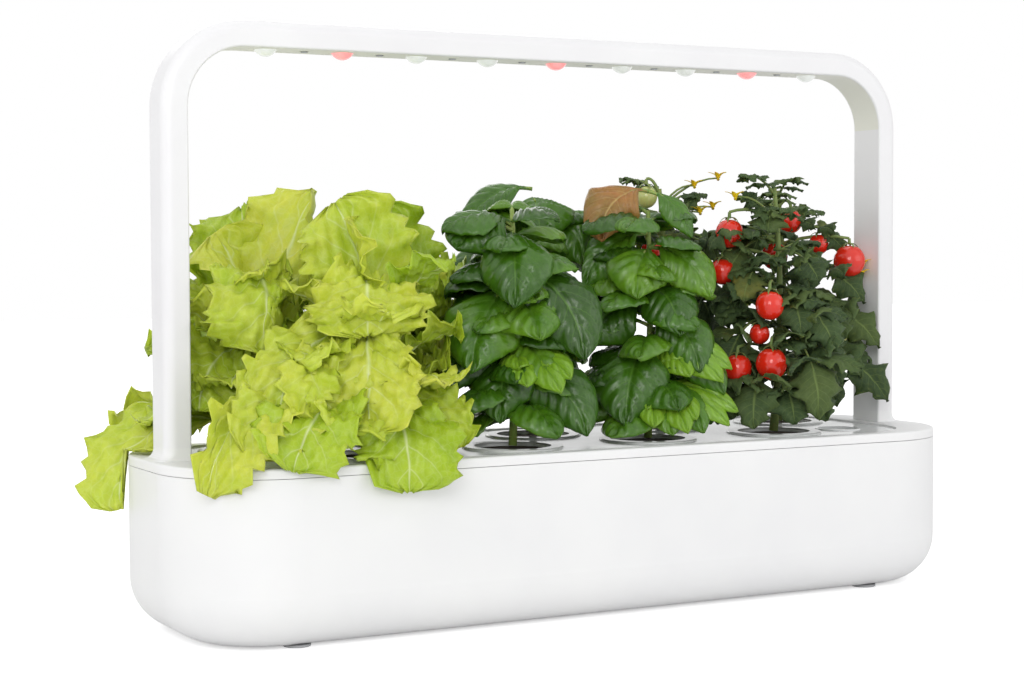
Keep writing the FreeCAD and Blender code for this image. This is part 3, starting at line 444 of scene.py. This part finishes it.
def fruit_finish(name, top, body, cheek):
    """Cherry tomato skin: taut, wet-looking, another colour near the stalk."""
    made, tree, surface = finish(name, Roughness=0.16, IOR=1.45, Subsurface_Weight=0.18,
                                 Subsurface_Scale=2.5 * mm, Subsurface_Radius=(1.0, 0.35, 0.15),
                                 Coat_Weight=0.5, Coat_Roughness=0.05)
    mottling = 0.16
    down = maths(tree, "SUBTRACT", uv_axes(tree)[1], mottling / 2)
    shade = maths(tree, "MULTIPLY_ADD", noise(tree, 8 * mm), mottling, down)
    feed(tree, surface, Base_Color=ramp(tree, shade, [(0.0, top), (0.22, body), (1.0, cheek)]))
    return made


shell_white = moulded_abs("satin_white_abs", "#f3f3f3", "#eeeeef", 0.42)
post_white = moulded_abs("post_white_abs", "#f1f1f2", "#ecebed", 0.36)
tray_grey = moulded_abs("polished_tray_abs", "#e8eaea", "#e2e5e5", 0.13, 1.4 * mm)
cup_grey = moulded_abs("polished_cup_abs", "#e6e7e6", "#dcdedd", 0.18, 1.4 * mm)
cover_pale = moulded_abs("lamp_cover_polycarbonate", "#efefe6", "#e6e7da", 0.38)
tank_grey = moulded_abs("tank_polypropylene", "#c9cccb", "#bfc3c2", 0.5)
foot_rubber = moulded_abs("foot_elastomer", "#b4b5b7", "#a4a5a7", 0.7)
float_white = moulded_abs("float_polystyrene", "#e9e9e6", "#dcdcd8", 0.3)
jack_black = moulded_abs("jack_nylon", "#17181a", "#101113", 0.4)
lead_black = moulded_abs("lead_pvc", "#1b1b1d", "#131315", 0.45)
board_green = moulded_abs("solder_mask_green", "#1d5a34", "#174c2b", 0.3)
board_white = moulded_abs("solder_mask_white", "#e8e9e4", "#dedfd9", 0.3)
package_yellow = moulded_abs("led_phosphor", "#efe29a", "#e6d77f", 0.3)


def brushed_metal(name, pale, deep, roughness):
    """Drawn aluminium or plated steel, with faint lengthwise drawing marks."""
    made, tree, surface = finish(name, Metallic=1.0)
    marks = (8.0, 900.0, 900.0)
    stretched = add(tree, "ShaderNodeMapping", None, Vector=object_place(tree), Scale=marks).outputs[0]
    streak = add(tree, "ShaderNodeTexNoise", None, Vector=stretched, Scale=1.0, Detail=3.0).outputs["Fac"]
    feed(tree, surface, Base_Color=ramp(tree, streak, [(0.3, pale), (0.7, deep)]),
         Roughness=maths(tree, "MULTIPLY_ADD", streak, 0.15, roughness))
    return made


def lens_finish(name, pale, deep, roughness, glow):
    """Moulded lens over an LED: lightly frosted, with a faint glow."""
    made, tree, surface = finish(name, Roughness=roughness, IOR=1.49, Transmission_Weight=0.15,
                                 Coat_Weight=0.6, Coat_Roughness=0.04, Emission_Strength=glow,
                                 Emission_Color=linear(pale))
    feed(tree, surface, Base_Color=ramp(tree, noise(tree, 6 * mm), [(0.3, pale), (0.75, deep)]))
    return made


def peat():
    """Damp peat plug: dark brown crumbs and pale fibres."""
    made, tree, surface = finish("peat_plug", Roughness=0.95)
    crumb = noise(tree, 1.6 * mm, detail=6.0, rough=0.7)
    browns = [(0.3, "#1c120b"), (0.55, "#3a2818"), (0.8, "#6a5236")]
    feed(tree, surface, Base_Color=ramp(tree, crumb, browns))
    bump(tree, surface, crumb, strength=0.9, distance=0.8 * mm)
    return made


spreader_metal = brushed_metal("mill_aluminium", "#cfd2d5", "#b3b7bb", 0.35)
screw_metal = brushed_metal("zinc_plated_steel", "#b9bcc0", "#9da1a6", 0.28)
lens_clear = lens_finish("frosted_lens", "#eef0ee", "#e4e8e6", 0.12, 0.32)
lens_red = lens_finish("red_lens", "#ffb3b4", "#fb8d90", 0.12, 0.45)
peat_brown = peat()

lettuce_green = leaf_finish(
    "lettuce_lamina", [(0.22, "#9dbb1e"), (0.45, "#b3cb2e"), (0.62, "#c9d646"), (0.85, "#dbdc50")],
    vein="#e2ecb0", dark="#93b01a", roughness=0.38, vein_count=7.0, speckle=0.35, relief=1.2, gloss=0.12)
basil_green = leaf_finish(
    "basil_lamina", [(0.15, "#284c08"), (0.4, "#35600c"), (0.6, "#4a7a14"), (0.95, "#86b32c")],
    vein="#5f8c2e", dark="#234708", roughness=0.26, vein_count=7.0, speckle=0.3, relief=-1.0, gloss=0.35)
tomato_green = leaf_finish(
    "tomato_lamina", [(0.2, "#34482a"), (0.5, "#435a30"), (0.78, "#586a34"), (0.92, "#a79a3c")],
    vein="#7d9150", dark="#2c3d22", roughness=0.62, vein_count=8.0, speckle=0.4, relief=-1.0, gloss=0.0)
ageing_leaf = leaf_finish(
    "ageing_lamina", [(0.15, "#55702a"), (0.4, "#b07a40"), (0.62, "#7f8c3a"), (0.9, "#4f7d22")],
    vein="#c9b070", dark="#7a4a24", roughness=0.36, vein_count=7.0, speckle=0.4, relief=-1.0, gloss=0.2)
basil_stalk = stem_finish("basil_stalk", "#9fb260", "#7f9a48", 0.45)
tomato_stalk = stem_finish("tomato_stalk", "#8b9c5a", "#6f8446", 0.55)
tomato_red = fruit_finish("ripe_tomato_skin", "#e04a1c", "#e8301a", "#dc1f12")
tomato_unripe = fruit_finish("unripe_tomato_skin", "#9fb050", "#c0c878", "#ccc77e")
petal_yellow = stem_finish("tomato_petal", "#f7dc2c", "#f2c914", 0.5)

# Leaf forms

def blade_form(grid, shares, spread, **ways):
    """Leaf form: grid, outline along the midrib, then how it swells and ruffles, in shares of its width."""
    plain = dict(lobe=0.0, lobes=1.0, notch=0.0, teeth=1.0, veins=1.0, quilt=0.0, blister=0.0, ruffle=0.0,
                 waves=1.0, sway=0.0, groove=0.0)
    return dict(plain, grid=grid, shares=shares, spread=spread, **ways)


lettuce_form = blade_form(
    (40, 27), (0, 0.12, 0.3, 0.5, 0.7, 0.86, 0.95, 1.0), (0.16, 0.2, 0.42, 0.78, 1.0, 0.98, 0.76, 0.2),
    lobe=0.08, lobes=4.0, notch=0.085, teeth=13.0, veins=7.0, quilt=0.045, blister=0.034, ruffle=0.10,
    waves=5.2, sway=0.10, cupping=0.20, groove=-0.012, thickness=0.9 * mm, rib=2.6)
basil_form = blade_form(
    (30, 21), (0, 0.14, 0.2, 0.32, 0.5, 0.68, 0.84, 0.94, 1.0),
    (0.06, 0.07, 0.4, 0.86, 1.0, 0.92, 0.62, 0.3, 0.02),
    notch=0.012, teeth=11.0, veins=7.0, quilt=0.072, ruffle=0.014, waves=3.0, sway=0.03, cupping=-0.42,
    groove=0.035, thickness=0.8 * mm, rib=0.8)
tomato_form = blade_form(
    (18, 11), (0, 0.1, 0.25, 0.45, 0.65, 0.85, 1.0), (0.1, 0.34, 0.9, 1.0, 0.76, 0.42, 0.04),
    lobe=0.42, lobes=3.6, notch=0.06, teeth=12.0, veins=6.0, quilt=0.05, blister=0.015, ruffle=0.05,
    waves=2.6, sway=0.10, cupping=-0.30, groove=0.04, thickness=0.7 * mm, rib=0.8)
sepal_form = blade_form((7, 3), (0, 0.3, 1.0), (0.7, 1.0, 0.06), cupping=0.2, thickness=0.5 * mm, rib=0.2)


def soft_limit(distance, limit, slack):
    """Distance that eases towards a limit: unchanged up to limit less slack, then levelling off."""
    past = np.maximum(distance - (limit - slack), 0)
    return np.where(distance > limit - slack, limit - slack * np.exp(-past / slack), distance)


def plant_space(number):
    """Keeps a plant's leaves off its neighbours, off the rim and tray, and off the lamp posts."""
    neighbour_gap, neighbour_slack = 1 * mm, 9 * mm
    rim_gap, rim_margin, rim_slack = 2.5 * mm, 3 * mm, 6 * mm
    # Beside a post the limit opens out over this width, to this much farther from the middle
    post_slack, post_opening, past_post = 5 * mm, 25 * mm, 200 * mm
    centre = cup_centre(number)
    side = 1 if number % 2 else -1
    diagonal = unit(np.array([cup_pitch, 2 * cup_row * -side, 0]))
    reach = math.hypot(cup_pitch, 2 * cup_row) / 2
    walls = []
    if number > 1:
        walls.append((diagonal * np.array([-1, 1, 1]), reach))
    if number < cup_count:
        walls.append((diagonal, reach))
    if number > 2:
        walls.append((np.array([-1.0, 0, 0]), cup_pitch))
    if number < cup_count - 1:
        walls.append((np.array([1.0, 0, 0]), cup_pitch))

    def keep_in(points):
        moved = points - centre
        for wall, limit in walls:
            along = moved @ wall
            push = soft_limit(along, limit - neighbour_gap, neighbour_slack) - along
            moved = moved + push[:, None] * wall
        moved = moved + centre
        bounds = np.array([tub_half_length - tub_corner, tub_half_depth - tub_corner])
        beyond = np.maximum(np.abs(moved[:, :2]) - bounds, 0)
        outside = np.linalg.norm(beyond, axis=1) - tub_corner
        floor = np.where(outside < rim_margin, rim_height + rim_gap, 0.0)
        opening = np.clip((np.abs(moved[:, 1]) - post_half_width) / post_opening, 0, 1) ** 2
        reach_x = np.abs(moved[:, 0])
        limited = soft_limit(reach_x, post_inner_face + past_post * opening, post_slack)
        moved[:, 0] = np.sign(moved[:, 0]) * limited
        low = np.maximum(floor - moved[:, 2] + rim_slack, 0)
        lifted = floor + rim_slack * np.exp(-low / rim_slack)
        moved[:, 2] = np.where(low > 0, lifted, moved[:, 2])
        return moved

    return keep_in


def as_given(points):
    """For petals and sepals, which are too small to be kept in."""
    return points


def mix(first, last, share):
    return first + (last - first) * share


def leaf(root, azimuth, rise, droop, length, width, roll=0.0, **more):
    return dict(root=np.asarray(root, float), azimuth=azimuth, rise=rise, droop=droop, length=length * mm,
                width=width * mm, roll=roll, **more)


def root_of(number, height=0.0):
    """Where leaves start on a plant's axis, at a height in millimetres above its crown."""
    return cup_centre(number) + np.array([0, 0, crown_height + height * mm])


def spot_at(number, right, near, up):
    """Point across, towards the front and above a plant's crown, in millimetres."""
    return root_of(number, up) + (turned(front_azimuth + 90) * right + turned(front_azimuth) * near) * mm


def leaf_to(root, right, near, up, droop, width, **more):
    """Leaf from its foot to a tip given across, towards the front and above the foot, in millimetres."""
    out = math.hypot(right, near)
    half = math.radians(droop / 2)
    aside = math.atan2(right, near)
    azimuth = front_azimuth + math.degrees(aside)
    rise = math.degrees(math.atan2(up, out)) + droop / 2
    length = math.hypot(out, up) * half / math.sin(half)
    return leaf(root, azimuth, rise, droop, length, width, leaf_roll * math.sin(aside), **more)


def shown_leaves(rows, number):
    return [leaf_to(root_of(number, foot), right, near, up - foot, droop, width)
            for owner, foot, right, near, up, droop, width in rows if owner == number]


def back_leaves(tiers, rows, number):
    """Tiers of leaves on the side away from the front, each tier turned from the last."""
    tier_turn = 23
    return [leaf(root_of(number, height), azimuth + tier_turn * tier + number, rise=32, droop=78,
                 length=length, width=width)
            for tier, height in enumerate(tiers) for azimuth, length, width in rows]


# Azimuth that the shown leaves face; those that reach sideways turn their faces this far to the front
front_azimuth = 241.4
leaf_roll = 55

# Shown leaves: cup, height of the foot, then the tip to the right, towards the front and up, droop, width
lettuce_shown = (
    (1, 0, 46, -8, 171, 25, 80), (1, 0, -22, 6, 142, 50, 74), (1, 105, 24, 64, 64, 130, 88),
    (1, 60, -26, 52, 26, 110, 66), (1, 95, -36, 10, 78, 90, 62), (1, 20, -8, -30, 160, 40, 78),
    (2, 30, -98, 98, -19, 100, 74), (2, 20, -20, -6, 162, 40, 80), (2, 70, -50, 62, 24, 110, 66),
    (2, 80, 6, 52, 18, 110, 74), (2, 62, -22, 58, 22, 110, 68), (2, 112, 4, 38, 76, 120, 80),
    (2, 26, -66, 88, 2, 80, 60), (2, 28, -38, 92, -6, 88, 66), (2, 34, 31, 58, -22, 120, 68),
    (2, 36, 62, 30, 2, 70, 58), (2, 0, -12, 10, 150, 45, 66), (3, 0, -18, 0, 160, 35, 76),
    (3, 20, 8, 12, 136, 66, 74), (3, 80, 32, 22, 92, 90, 66), (3, 50, 42, 14, 50, 95, 62),
    (3, 62, 14, 32, 30, 105, 60), (3, 30, 20, -20, 120, 60, 70),
)
# The lettuce leaf that hangs over the tub's end, and those on each lettuce's far side: azimuth, rise,
# droop, length, width
lettuce_hung = (172, 50, 150, 130, 60)
lettuce_back = ((12, 62, 70, 130, 62), (48, 50, 95, 120, 66), (84, 66, 60, 140, 64), (122, 46, 100, 112, 66))
basil_shown = (
    (4, 106, -27, 38, 48, 78, 58), (4, 150, -37, 22, 130, 82, 56), (5, 175, -50, -6, 146, 80, 46),
    (4, 120, 48, 28, 56, 80, 54), (4, 142, 2, 46, 92, 96, 52), (6, 66, -18, 38, 8, 80, 56),
    (4, 62, -8, 26, 14, 82, 44), (4, 50, 50, 20, 4, 80, 44), (6, 172, -33, 14, 136, 112, 44),
    (6, 172, 30, 5, 138, 70, 24), (4, 70, 24, 36, 40, 80, 40), (5, 130, -64, -14, 104, 72, 48),
    (5, 168, 5, 30, 136, 92, 52), (5, 158, 40, 20, 118, 82, 50), (6, 130, -10, 35, 96, 92, 46),
    (6, 105, 20, 34, 70, 84, 42), (6, 86, 34, 26, 44, 80, 40), (4, 96, 18, 44, 70, 84, 48),
    (6, 34, 14, 42, 0, 80, 32), (6, 36, 36, 36, 2, 80, 32), (6, 62, 52, 18, 28, 80, 32),
    (5, 92, 46, 8, 62, 80, 46), (5, 84, -44, 6, 52, 80, 46), (6, 92, -46, 14, 62, 80, 50),
    (6, 42, -42, 18, 8, 80, 46), (6, 142, -46, 8, 104, 80, 46), (5, 122, 12, 44, 84, 85, 52),
    (6, 132, 42, 16, 96, 80, 40), (4, 82, -46, 14, 30, 82, 44),
)
# Leaves of a tier on the far side, as azimuth, length and width, and the heights of the tiers
basil_back = ((10, 60, 42), (66, 64, 48), (122, 58, 44))
basil_tiers = (52, 104, 148)
tomato_shown = (
    (9, 52, 78, 44, 14, 80, 40), (8, 75, 26, 42, 8, 95, 48), (8, 60, -20, 42, 0, 90, 50),
    (8, 48, -44, 20, 2, 80, 42), (8, 105, 15, 36, 68, 90, 38), (9, 85, 74, 30, 54, 85, 40),
    (9, 118, 64, 20, 88, 80, 36), (9, 150, 52, 6, 128, 70, 30), (8, 160, -8, 26, 142, 80, 34),
    (7, 140, 30, 5, 172, 30, 24), (7, 140, 50, 10, 120, 70, 34), (7, 100, 46, 25, 68, 80, 40),
    (7, 120, 22, 36, 90, 80, 36), (8, 125, -26, 30, 92, 80, 36), (8, 150, -24, 0, 172, 30, 26),
    (9, 140, 22, 2, 164, 40, 26), (9, 95, 45, 46, 62, 80, 42), (7, 60, 30, 36, 30, 80, 40),
    (8, 95, 40, 30, 56, 85, 40), (8, 130, 30, 22, 106, 80, 36), (9, 62, 58, 42, 32, 85, 40),
    (9, 130, 20, 38, 98, 80, 36), (9, 110, 8, 44, 72, 85, 38), (8, 34, 34, 34, 6, 80, 36),
)
tomato_back = ((14, 70, 36), (64, 74, 40), (116, 68, 36))
tomato_tiers = (40, 88, 136)


def lettuce(number):
    """Loose head: the shown leaves fold over in front, a fan stands behind, small ones fill the heart."""
    heart_leaves = 14
    roll_span, hung_roll = 16, -50
    parts = Parts()
    keep_in = plant_space(number)
    leaves = shown_leaves(lettuce_shown, number)
    for azimuth, rise, droop, length, width in lettuce_back + ((lettuce_hung,) if number == 1 else ()):
        leaves.append(leaf(root_of(number), azimuth, rise, droop, length, width))
    for i in range(heart_leaves):
        share = i / (heart_leaves - 1)
        leaves.append(leaf(
            root_of(number, mix(0, 60, share)), azimuth=number * 50 + i * leaf_turn, rise=mix(50, 80, share),
            droop=mix(90, 60, share), length=mix(84, 92, share) + rng.uniform(-6, 6),
            width=mix(56, 50, share)))
    for made in leaves:
        hung = made["azimuth"] == lettuce_hung[0]
        made["roll"] += hung_roll if hung else rng.uniform(-roll_span, roll_span)
        add_leaf(parts, made, lettuce_form, keep_in)
    return build("lettuce_head_%d" % number, parts, [lettuce_green])


# Young shoots of basil: cup, height of the foot, leaf count, where they gather to the right, near and up
young_shoots = (
    (6, 30, 6, (14, 40, -18)), (6, 60, 5, (40, 24, -14)), (4, 56, 5, (22, 40, -12)),
    (6, 30, 4, (44, 24, -14)),
)
# The one basil leaf that has turned orange, as in the shown leaves
aged_leaf = (6, 172, -33, 14, 136, 112, 44)


def shoot_leaves(number):
    """Pale young leaves, scattered round the place where their shoot gathers."""
    pale = 1.5
    return [leaf_to(root_of(number, height), right + 17 * math.cos(2.4 * k), near + 9 * math.sin(2.4 * k),
                    up + 9 * math.sin(3.7 * k), droop=70, width=26, tint=pale)
            for owner, height, count, (right, near, up) in young_shoots if owner == number
            for k in range(count)]


def basil(number):
    """Bushy basil: a stem and domed leaves that hang from it on short stalks."""
    stem_foot, stem_top = -4, 158
    inner_leaves = 24
    roll_span = 12
    stalk_share, stalk_points, stalk_drop = 0.24, 5, 0.4 * mm
    parts = Parts()
    keep_in = plant_space(number)
    add_stem(parts, root_of(number, stem_foot), root_of(number, stem_top), [3 * mm, 2 * mm, 0],
             3.0 * mm, 1.6 * mm, stalk_slot, stem_sides)
    leaves = shown_leaves(basil_shown, number) + back_leaves(basil_tiers, basil_back, number)
    for i in range(inner_leaves):
        share = i / (inner_leaves - 1)
        leaves.append(leaf(
            root_of(number, mix(16, 156, share)), azimuth=number * 35 + i * leaf_turn,
            rise=mix(20, 40, share), droop=80, length=mix(56, 44, share) + rng.uniform(-6, 6),
            width=mix(42, 34, share)))
    leaves += shoot_leaves(number)
    aged = [made["azimuth"] for made in shown_leaves((aged_leaf,), number)]
    for made in leaves:
        made["roll"] += rng.uniform(-roll_span, roll_span)
        add_leaf(parts, made, basil_form, keep_in, accent_slot if made["azimuth"] in aged else blade_slot)
        stalk, _ = midrib(made, np.linspace(0, stalk_share, stalk_points))
        add_leaf_stalk(parts, stalk - up_axis * stalk_drop, 1.5, 1.0)
    return build("basil_bush_%d" % number, parts, [basil_green, basil_stalk, ageing_leaf])


# Fruit: cup, then its centre to the right, towards the front and up, and its radius
fruit_rows = (
    (7, -5, 20, 129, 10.5), (7, 31, 0, 126, 9.5), (7, -10, 0, 170, 8.5),
    (8, -34, 10, 142, 10.5), (8, -39, 10, 114, 9.5), (8, -30, 30, 44, 10.5), (8, -7, 40, 48, 11.5),
    (8, -8, 38, 90, 10.5), (8, -14, 28, 69, 7.5),
    (9, 54, 10, 121, 12.5), (9, 9, 5, 152, 9.5), (9, -4, 10, 125, 10.5), (9, 31, 5, 134, 8.0),
    (9, 40, 25, 64, 10.5),
)
# Smaller tomato leaves low in the bush, as the shown leaves
tomato_low = (
    (8, 44, -34, 34, 8, 80, 44), (8, 84, -38, 26, 40, 80, 42), (7, 84, 52, 14, 46, 80, 44),
    (8, 110, -40, 14, 74, 80, 40), (7, 64, 46, 20, 24, 80, 44), (8, 40, 10, 40, 4, 80, 44),
    (9, 44, 40, 40, 10, 80, 42), (7, 110, 50, 10, 84, 80, 40), (8, 140, -36, 16, 112, 70, 34),
    (9, 80, 30, 44, 46, 80, 42), (8, 70, 46, 20, 30, 80, 42),
)
# Flowers: cup, then right, near and up
tomato_flowers = (
    (7, 30, 8, 158), (7, 41, 6, 162), (7, 26, 4, 178), (7, 48, 2, 184), (9, 64, 8, 110), (9, 70, 4, 118),
    (8, -30, 12, 168),
)
# Petals and sepals stand in a ring of five
star_points = 5
star_turn = 72


def add_flower(parts, centre):
    """Star of narrow petals that bend back round a short cone."""
    for k in range(star_points):
        petal = leaf(centre, azimuth=k * star_turn, rise=55, droop=50, length=9, width=4.6, phase=0.0)
        add_leaf(parts, petal, sepal_form, as_given, accent_slot)
    cone_foot, cone_length = centre - up_axis * mm, 4 * mm
    add_stem(parts, cone_foot, centre + turned(front_azimuth) * cone_length, [0, 0, 0], 1.3 * mm, 0.5 * mm,
             accent_slot, stalk_sides)


def fruit_centres(number):
    return [(spot_at(number, right, near, up), radius * mm)
            for owner, right, near, up, radius in fruit_rows if owner == number]


def add_compound_leaf(parts, stalk, keep_in):
    """Tomato leaf: a stalk with two pairs of leaflets and a leaflet that carries on from its end."""
    stalk_share, stalk_points, pair_places = 0.62, 8, (3, 6)
    tip_share = 0.47
    stalk.setdefault("phase", rng.uniform(0, tomato_phase_span))
    rib, _ = midrib(stalk, np.linspace(0, stalk_share, stalk_points))
    rib = keep_in(rib)
    add_leaf_stalk(parts, rib, 1.3, 0.6)
    tip = dict(stalk, root=rib[-2], rise=stalk["rise"] - stalk["droop"] * (1 - tip_share),
               droop=stalk["droop"] * tip_share, length=stalk["length"] * tip_share)
    add_leaf(parts, tip, tomato_form, keep_in)
    for place in pair_places:
        for side in (-1, 1):
            leaflet = dict(stalk, root=rib[place], azimuth=stalk["azimuth"] + side * 62, rise=15, droop=50,
                           length=stalk["length"] * 0.42, width=stalk["width"] * 0.66,
                           phase=rng.uniform(0, tomato_phase_span))
            add_leaf(parts, leaflet, tomato_form, keep_in)


def add_fruit_stalk(parts, number, centre, radius):
    """Stalk from the main stem to above a fruit and down to it, and the fruit's star of sepals."""
    highest_foot = 172
    # Stars are turned by this many degrees for each metre of the fruit's radius, so that they differ
    turn_by_radius = 9e4
    shoulder = centre + up_axis * (radius + 5 * mm)
    foot = root_of(number)
    foot[2] = min(centre[2] + radius, root_of(number, highest_foot)[2])
    add_stem(parts, foot, shoulder, [0, 0, 4 * mm], 1.4 * mm, 1.1 * mm, stalk_slot, stalk_sides)
    add_stem(parts, shoulder, centre + up_axis * (radius + 0.3 * mm), [0, 0, 0], 1.2 * mm, 1.5 * mm,
             stalk_slot, stalk_sides)
    for k in range(star_points):
        sepal = leaf(centre + up_axis * (radius + 1.0 * mm), azimuth=k * star_turn + radius * turn_by_radius,
                     rise=12, droop=80, length=9, width=3)
        add_leaf(parts, sepal, sepal_form, as_given, stalk_slot)


def tomato(number):
    """Dwarf tomato: upright stem, compound lobed leaves, flowers, and stalks that hold the fruit."""
    stem_foot, stem_top = -4, 176
    inner_leaves = 14
    # A flower's stalk leaves the stem this far below it, and no higher than this
    flower_drop, highest_foot = 16, 160
    parts = Parts()
    keep_in = plant_space(number)
    add_stem(parts, root_of(number, stem_foot), root_of(number, stem_top), [4 * mm, -2 * mm, 0],
             3.4 * mm, 1.6 * mm, stalk_slot, stem_sides)
    leaves = shown_leaves(tomato_shown + tomato_low, number) + back_leaves(tomato_tiers, tomato_back, number)
    for i in range(inner_leaves):
        share = i / (inner_leaves - 1)
        leaves.append(leaf(
            root_of(number, mix(20, 170, share)), azimuth=number * 70 + i * leaf_turn,
            rise=mix(30, 55, share), droop=70, length=mix(56, 40, share), width=mix(28, 22, share)))
    for stalk in leaves:
        add_compound_leaf(parts, stalk, keep_in)
    for owner, right, near, up in tomato_flowers:
        if owner == number:
            spot = keep_in(spot_at(number, right, near, up)[None])[0]
            foot = root_of(number, min(up - flower_drop, highest_foot))
            add_stem(parts, foot, spot, [0, 0, 6 * mm], 1.1 * mm, 0.6 * mm, stalk_slot, stalk_sides)
            add_flower(parts, spot)
    for centre, radius in fruit_centres(number):
        add_fruit_stalk(parts, number, centre, radius)
    return build("tomato_bush_%d" % number, parts, [tomato_green, tomato_stalk, petal_yellow])


def tomato_profile(t):
    """Nearly a sphere, drawn in a little at the stalk end."""
    return 1 - 0.10 * np.exp(-(t / 0.35) ** 2) + 0.02 * np.cos(2 * t)


def tomatoes(number):
    ripe_slot, unripe_slot = 0, 1
    axis, ribs = (0.05, 0.03, 1), 0.012
    parts = Parts()
    for centre, radius in fruit_centres(number):
        surface, faces, uv = ball(centre, radius, axis, tomato_profile, ribs)
        small = number == 7 and radius < 9 * mm
        low = number == 9 and centre[2] < root_of(number, 80)[2]
        slot = unripe_slot if small or low else ripe_slot
        parts.add(surface, faces, uv, rng.uniform(0, 1), slot)
    return build("cherry_tomatoes_%d" % number, parts, [tomato_red, tomato_unripe])


# Planting: three of each kind, left to right
kinds = ((lettuce, "lettuce"), (basil, "basil"), (tomato, "tomato"))
for number in range(1, cup_count + 1):
    body = "planter_%d" % number
    kind, node = kinds[(number - 1) // 3]
    plant = kind(number)
    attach(plant, body)
    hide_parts("%s_%d" % (node, number))
    if kind is tomato:
        crop = tomatoes(number)
        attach(crop, body)
        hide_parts("fruits_%d" % number)


# Finishes of the moulded and metal pieces
finishes = {
    "tub_shell": shell_white, "rim": shell_white, "left_arm": post_white, "right_arm": post_white,
    "lamp_housing": post_white, "lamp_cover": cover_pale, "tray": tray_grey, "float_well": tank_grey,
    "water_tank": tank_grey, "water_float": float_white, "feet": foot_rubber, "control_board": board_green,
    "led_board": board_white, "heat_spreader": spreader_metal, "cover_screws": screw_metal,
    "leds": package_yellow, "lenses_clear": lens_clear, "lenses_red": lens_red, "power_jack": jack_black,
    "input_lead": lead_black, "lamp_lead_base": lead_black, "arm_lead": lead_black, "bow_lead": lead_black,
}
for number in range(1, cup_count + 1):
    finishes["cup_%d" % number] = cup_grey
    finishes["soil_%d" % number] = peat_brown
for node, made in finishes.items():
    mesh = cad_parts[node].data
    mesh.materials.clear()
    mesh.materials.append(made)


# Floor, light and camera

white = (1, 1, 1, 1)
light_target = (0, 0, 0.2)


def floor():
    """White table that keeps the soft shadow under the tub."""
    lift, half = 0.5, 6.0
    made, tree, surface = finish("table_white", Base_Color=linear("#f4f4f4"), Roughness=0.9)
    camera_ray = add(tree, "ShaderNodeLightPath").outputs["Is Camera Ray"]
    strength = maths(tree, "MULTIPLY", camera_ray, lift)
    glow = add(tree, "ShaderNodeEmission", None, Color=white, Strength=strength)
    both = add(tree, "ShaderNodeAddShader", None, i0=surface.outputs[0], i1=glow.outputs[0])
    output = [n for n in tree.nodes if n.type == "OUTPUT_MATERIAL"][0]
    tree.links.new(both.outputs[0], output.inputs["Surface"])
    mesh = bpy.data.meshes.new("table")
    corners = [(-half, -half, 0), (half, -half, 0), (half, half, 0), (-half, half, 0)]
    mesh.from_pydata(corners, [], [(0, 1, 2, 3)])
    mesh.materials.append(made)
    table = bpy.data.objects.new("table", mesh)
    bpy.context.scene.collection.objects.link(table)


def softbox(name, place, size, power):
    """Area light of a width and height in metres that faces the garden."""
    lamp = bpy.data.lights.new(name, "AREA")
    lamp.shape = "RECTANGLE"
    lamp.size, lamp.size_y = size
    lamp.energy = power
    made = bpy.data.objects.new(name, lamp)
    back = unit(np.array(place, float) - np.array(light_target, float))
    first = unit(np.cross([0, 0, 1.0], back))
    second = np.cross(back, first)
    facing = Matrix(np.stack([first, second, back], 1).tolist()).to_4x4()
    made.matrix_world = Matrix.Translation(place) @ facing
    bpy.context.scene.collection.objects.link(made)


def surroundings():
    """White world: full strength where it is seen or mirrored, weaker as a light."""
    lighting, seen_extra = 0.70, 0.30
    world = bpy.data.worlds.new("studio")
    bpy.context.scene.world = world
    world.use_nodes = True
    tree = world.node_tree
    tree.nodes.clear()
    path = add(tree, "ShaderNodeLightPath").outputs
    seen = maths(tree, "MAXIMUM", path["Is Camera Ray"], path["Is Glossy Ray"])
    seen = maths(tree, "MAXIMUM", seen, path["Is Transmission Ray"])
    strength = maths(tree, "MULTIPLY_ADD", seen, seen_extra, lighting)
    light = add(tree, "ShaderNodeBackground", None, Color=white, Strength=strength)
    add(tree, "ShaderNodeOutputWorld", None, Surface=light.outputs[0])


def camera():
    """Camera fitted to the photograph: place, then turn, tilt and roll in radians."""
    lens = bpy.data.cameras.new("camera")
    lens.sensor_width = 36
    lens.lens = 69.29
    lens.clip_start = 0.05
    made = bpy.data.objects.new("camera", lens)
    place = (-0.7011, -1.2199, 0.2496)
    turn, tilt, roll = 0.499, -0.0455, -0.0035
    made.matrix_world = (Matrix.Translation(place) @ Matrix.Rotation(-turn, 4, "Z")
                         @ Matrix.Rotation(math.pi / 2 + tilt, 4, "X") @ Matrix.Rotation(roll, 4, "Z"))
    bpy.context.scene.collection.objects.link(made)
    bpy.context.scene.camera = made


floor()
surroundings()
# Softboxes: name, place, width and height, power
for name, place, size, power in (
        ("key", (-1.25, -1.9, 1.0), (1.1, 0.9), 14), ("fill", (1.3, -1.8, 0.8), (1.4, 1.2), 5),
        ("side", (-2.3, -0.3, 0.8), (1.2, 1.0), 3.5), ("rear", (0.6, 2.3, 1.2), (1.6, 1.2), 9),
        ("top", (0.0, 0.4, 2.2), (1.8, 1.4), 5)):
    softbox(name, place, size, power)
camera()
bpy.context.scene.view_settings.view_transform = "Standard"
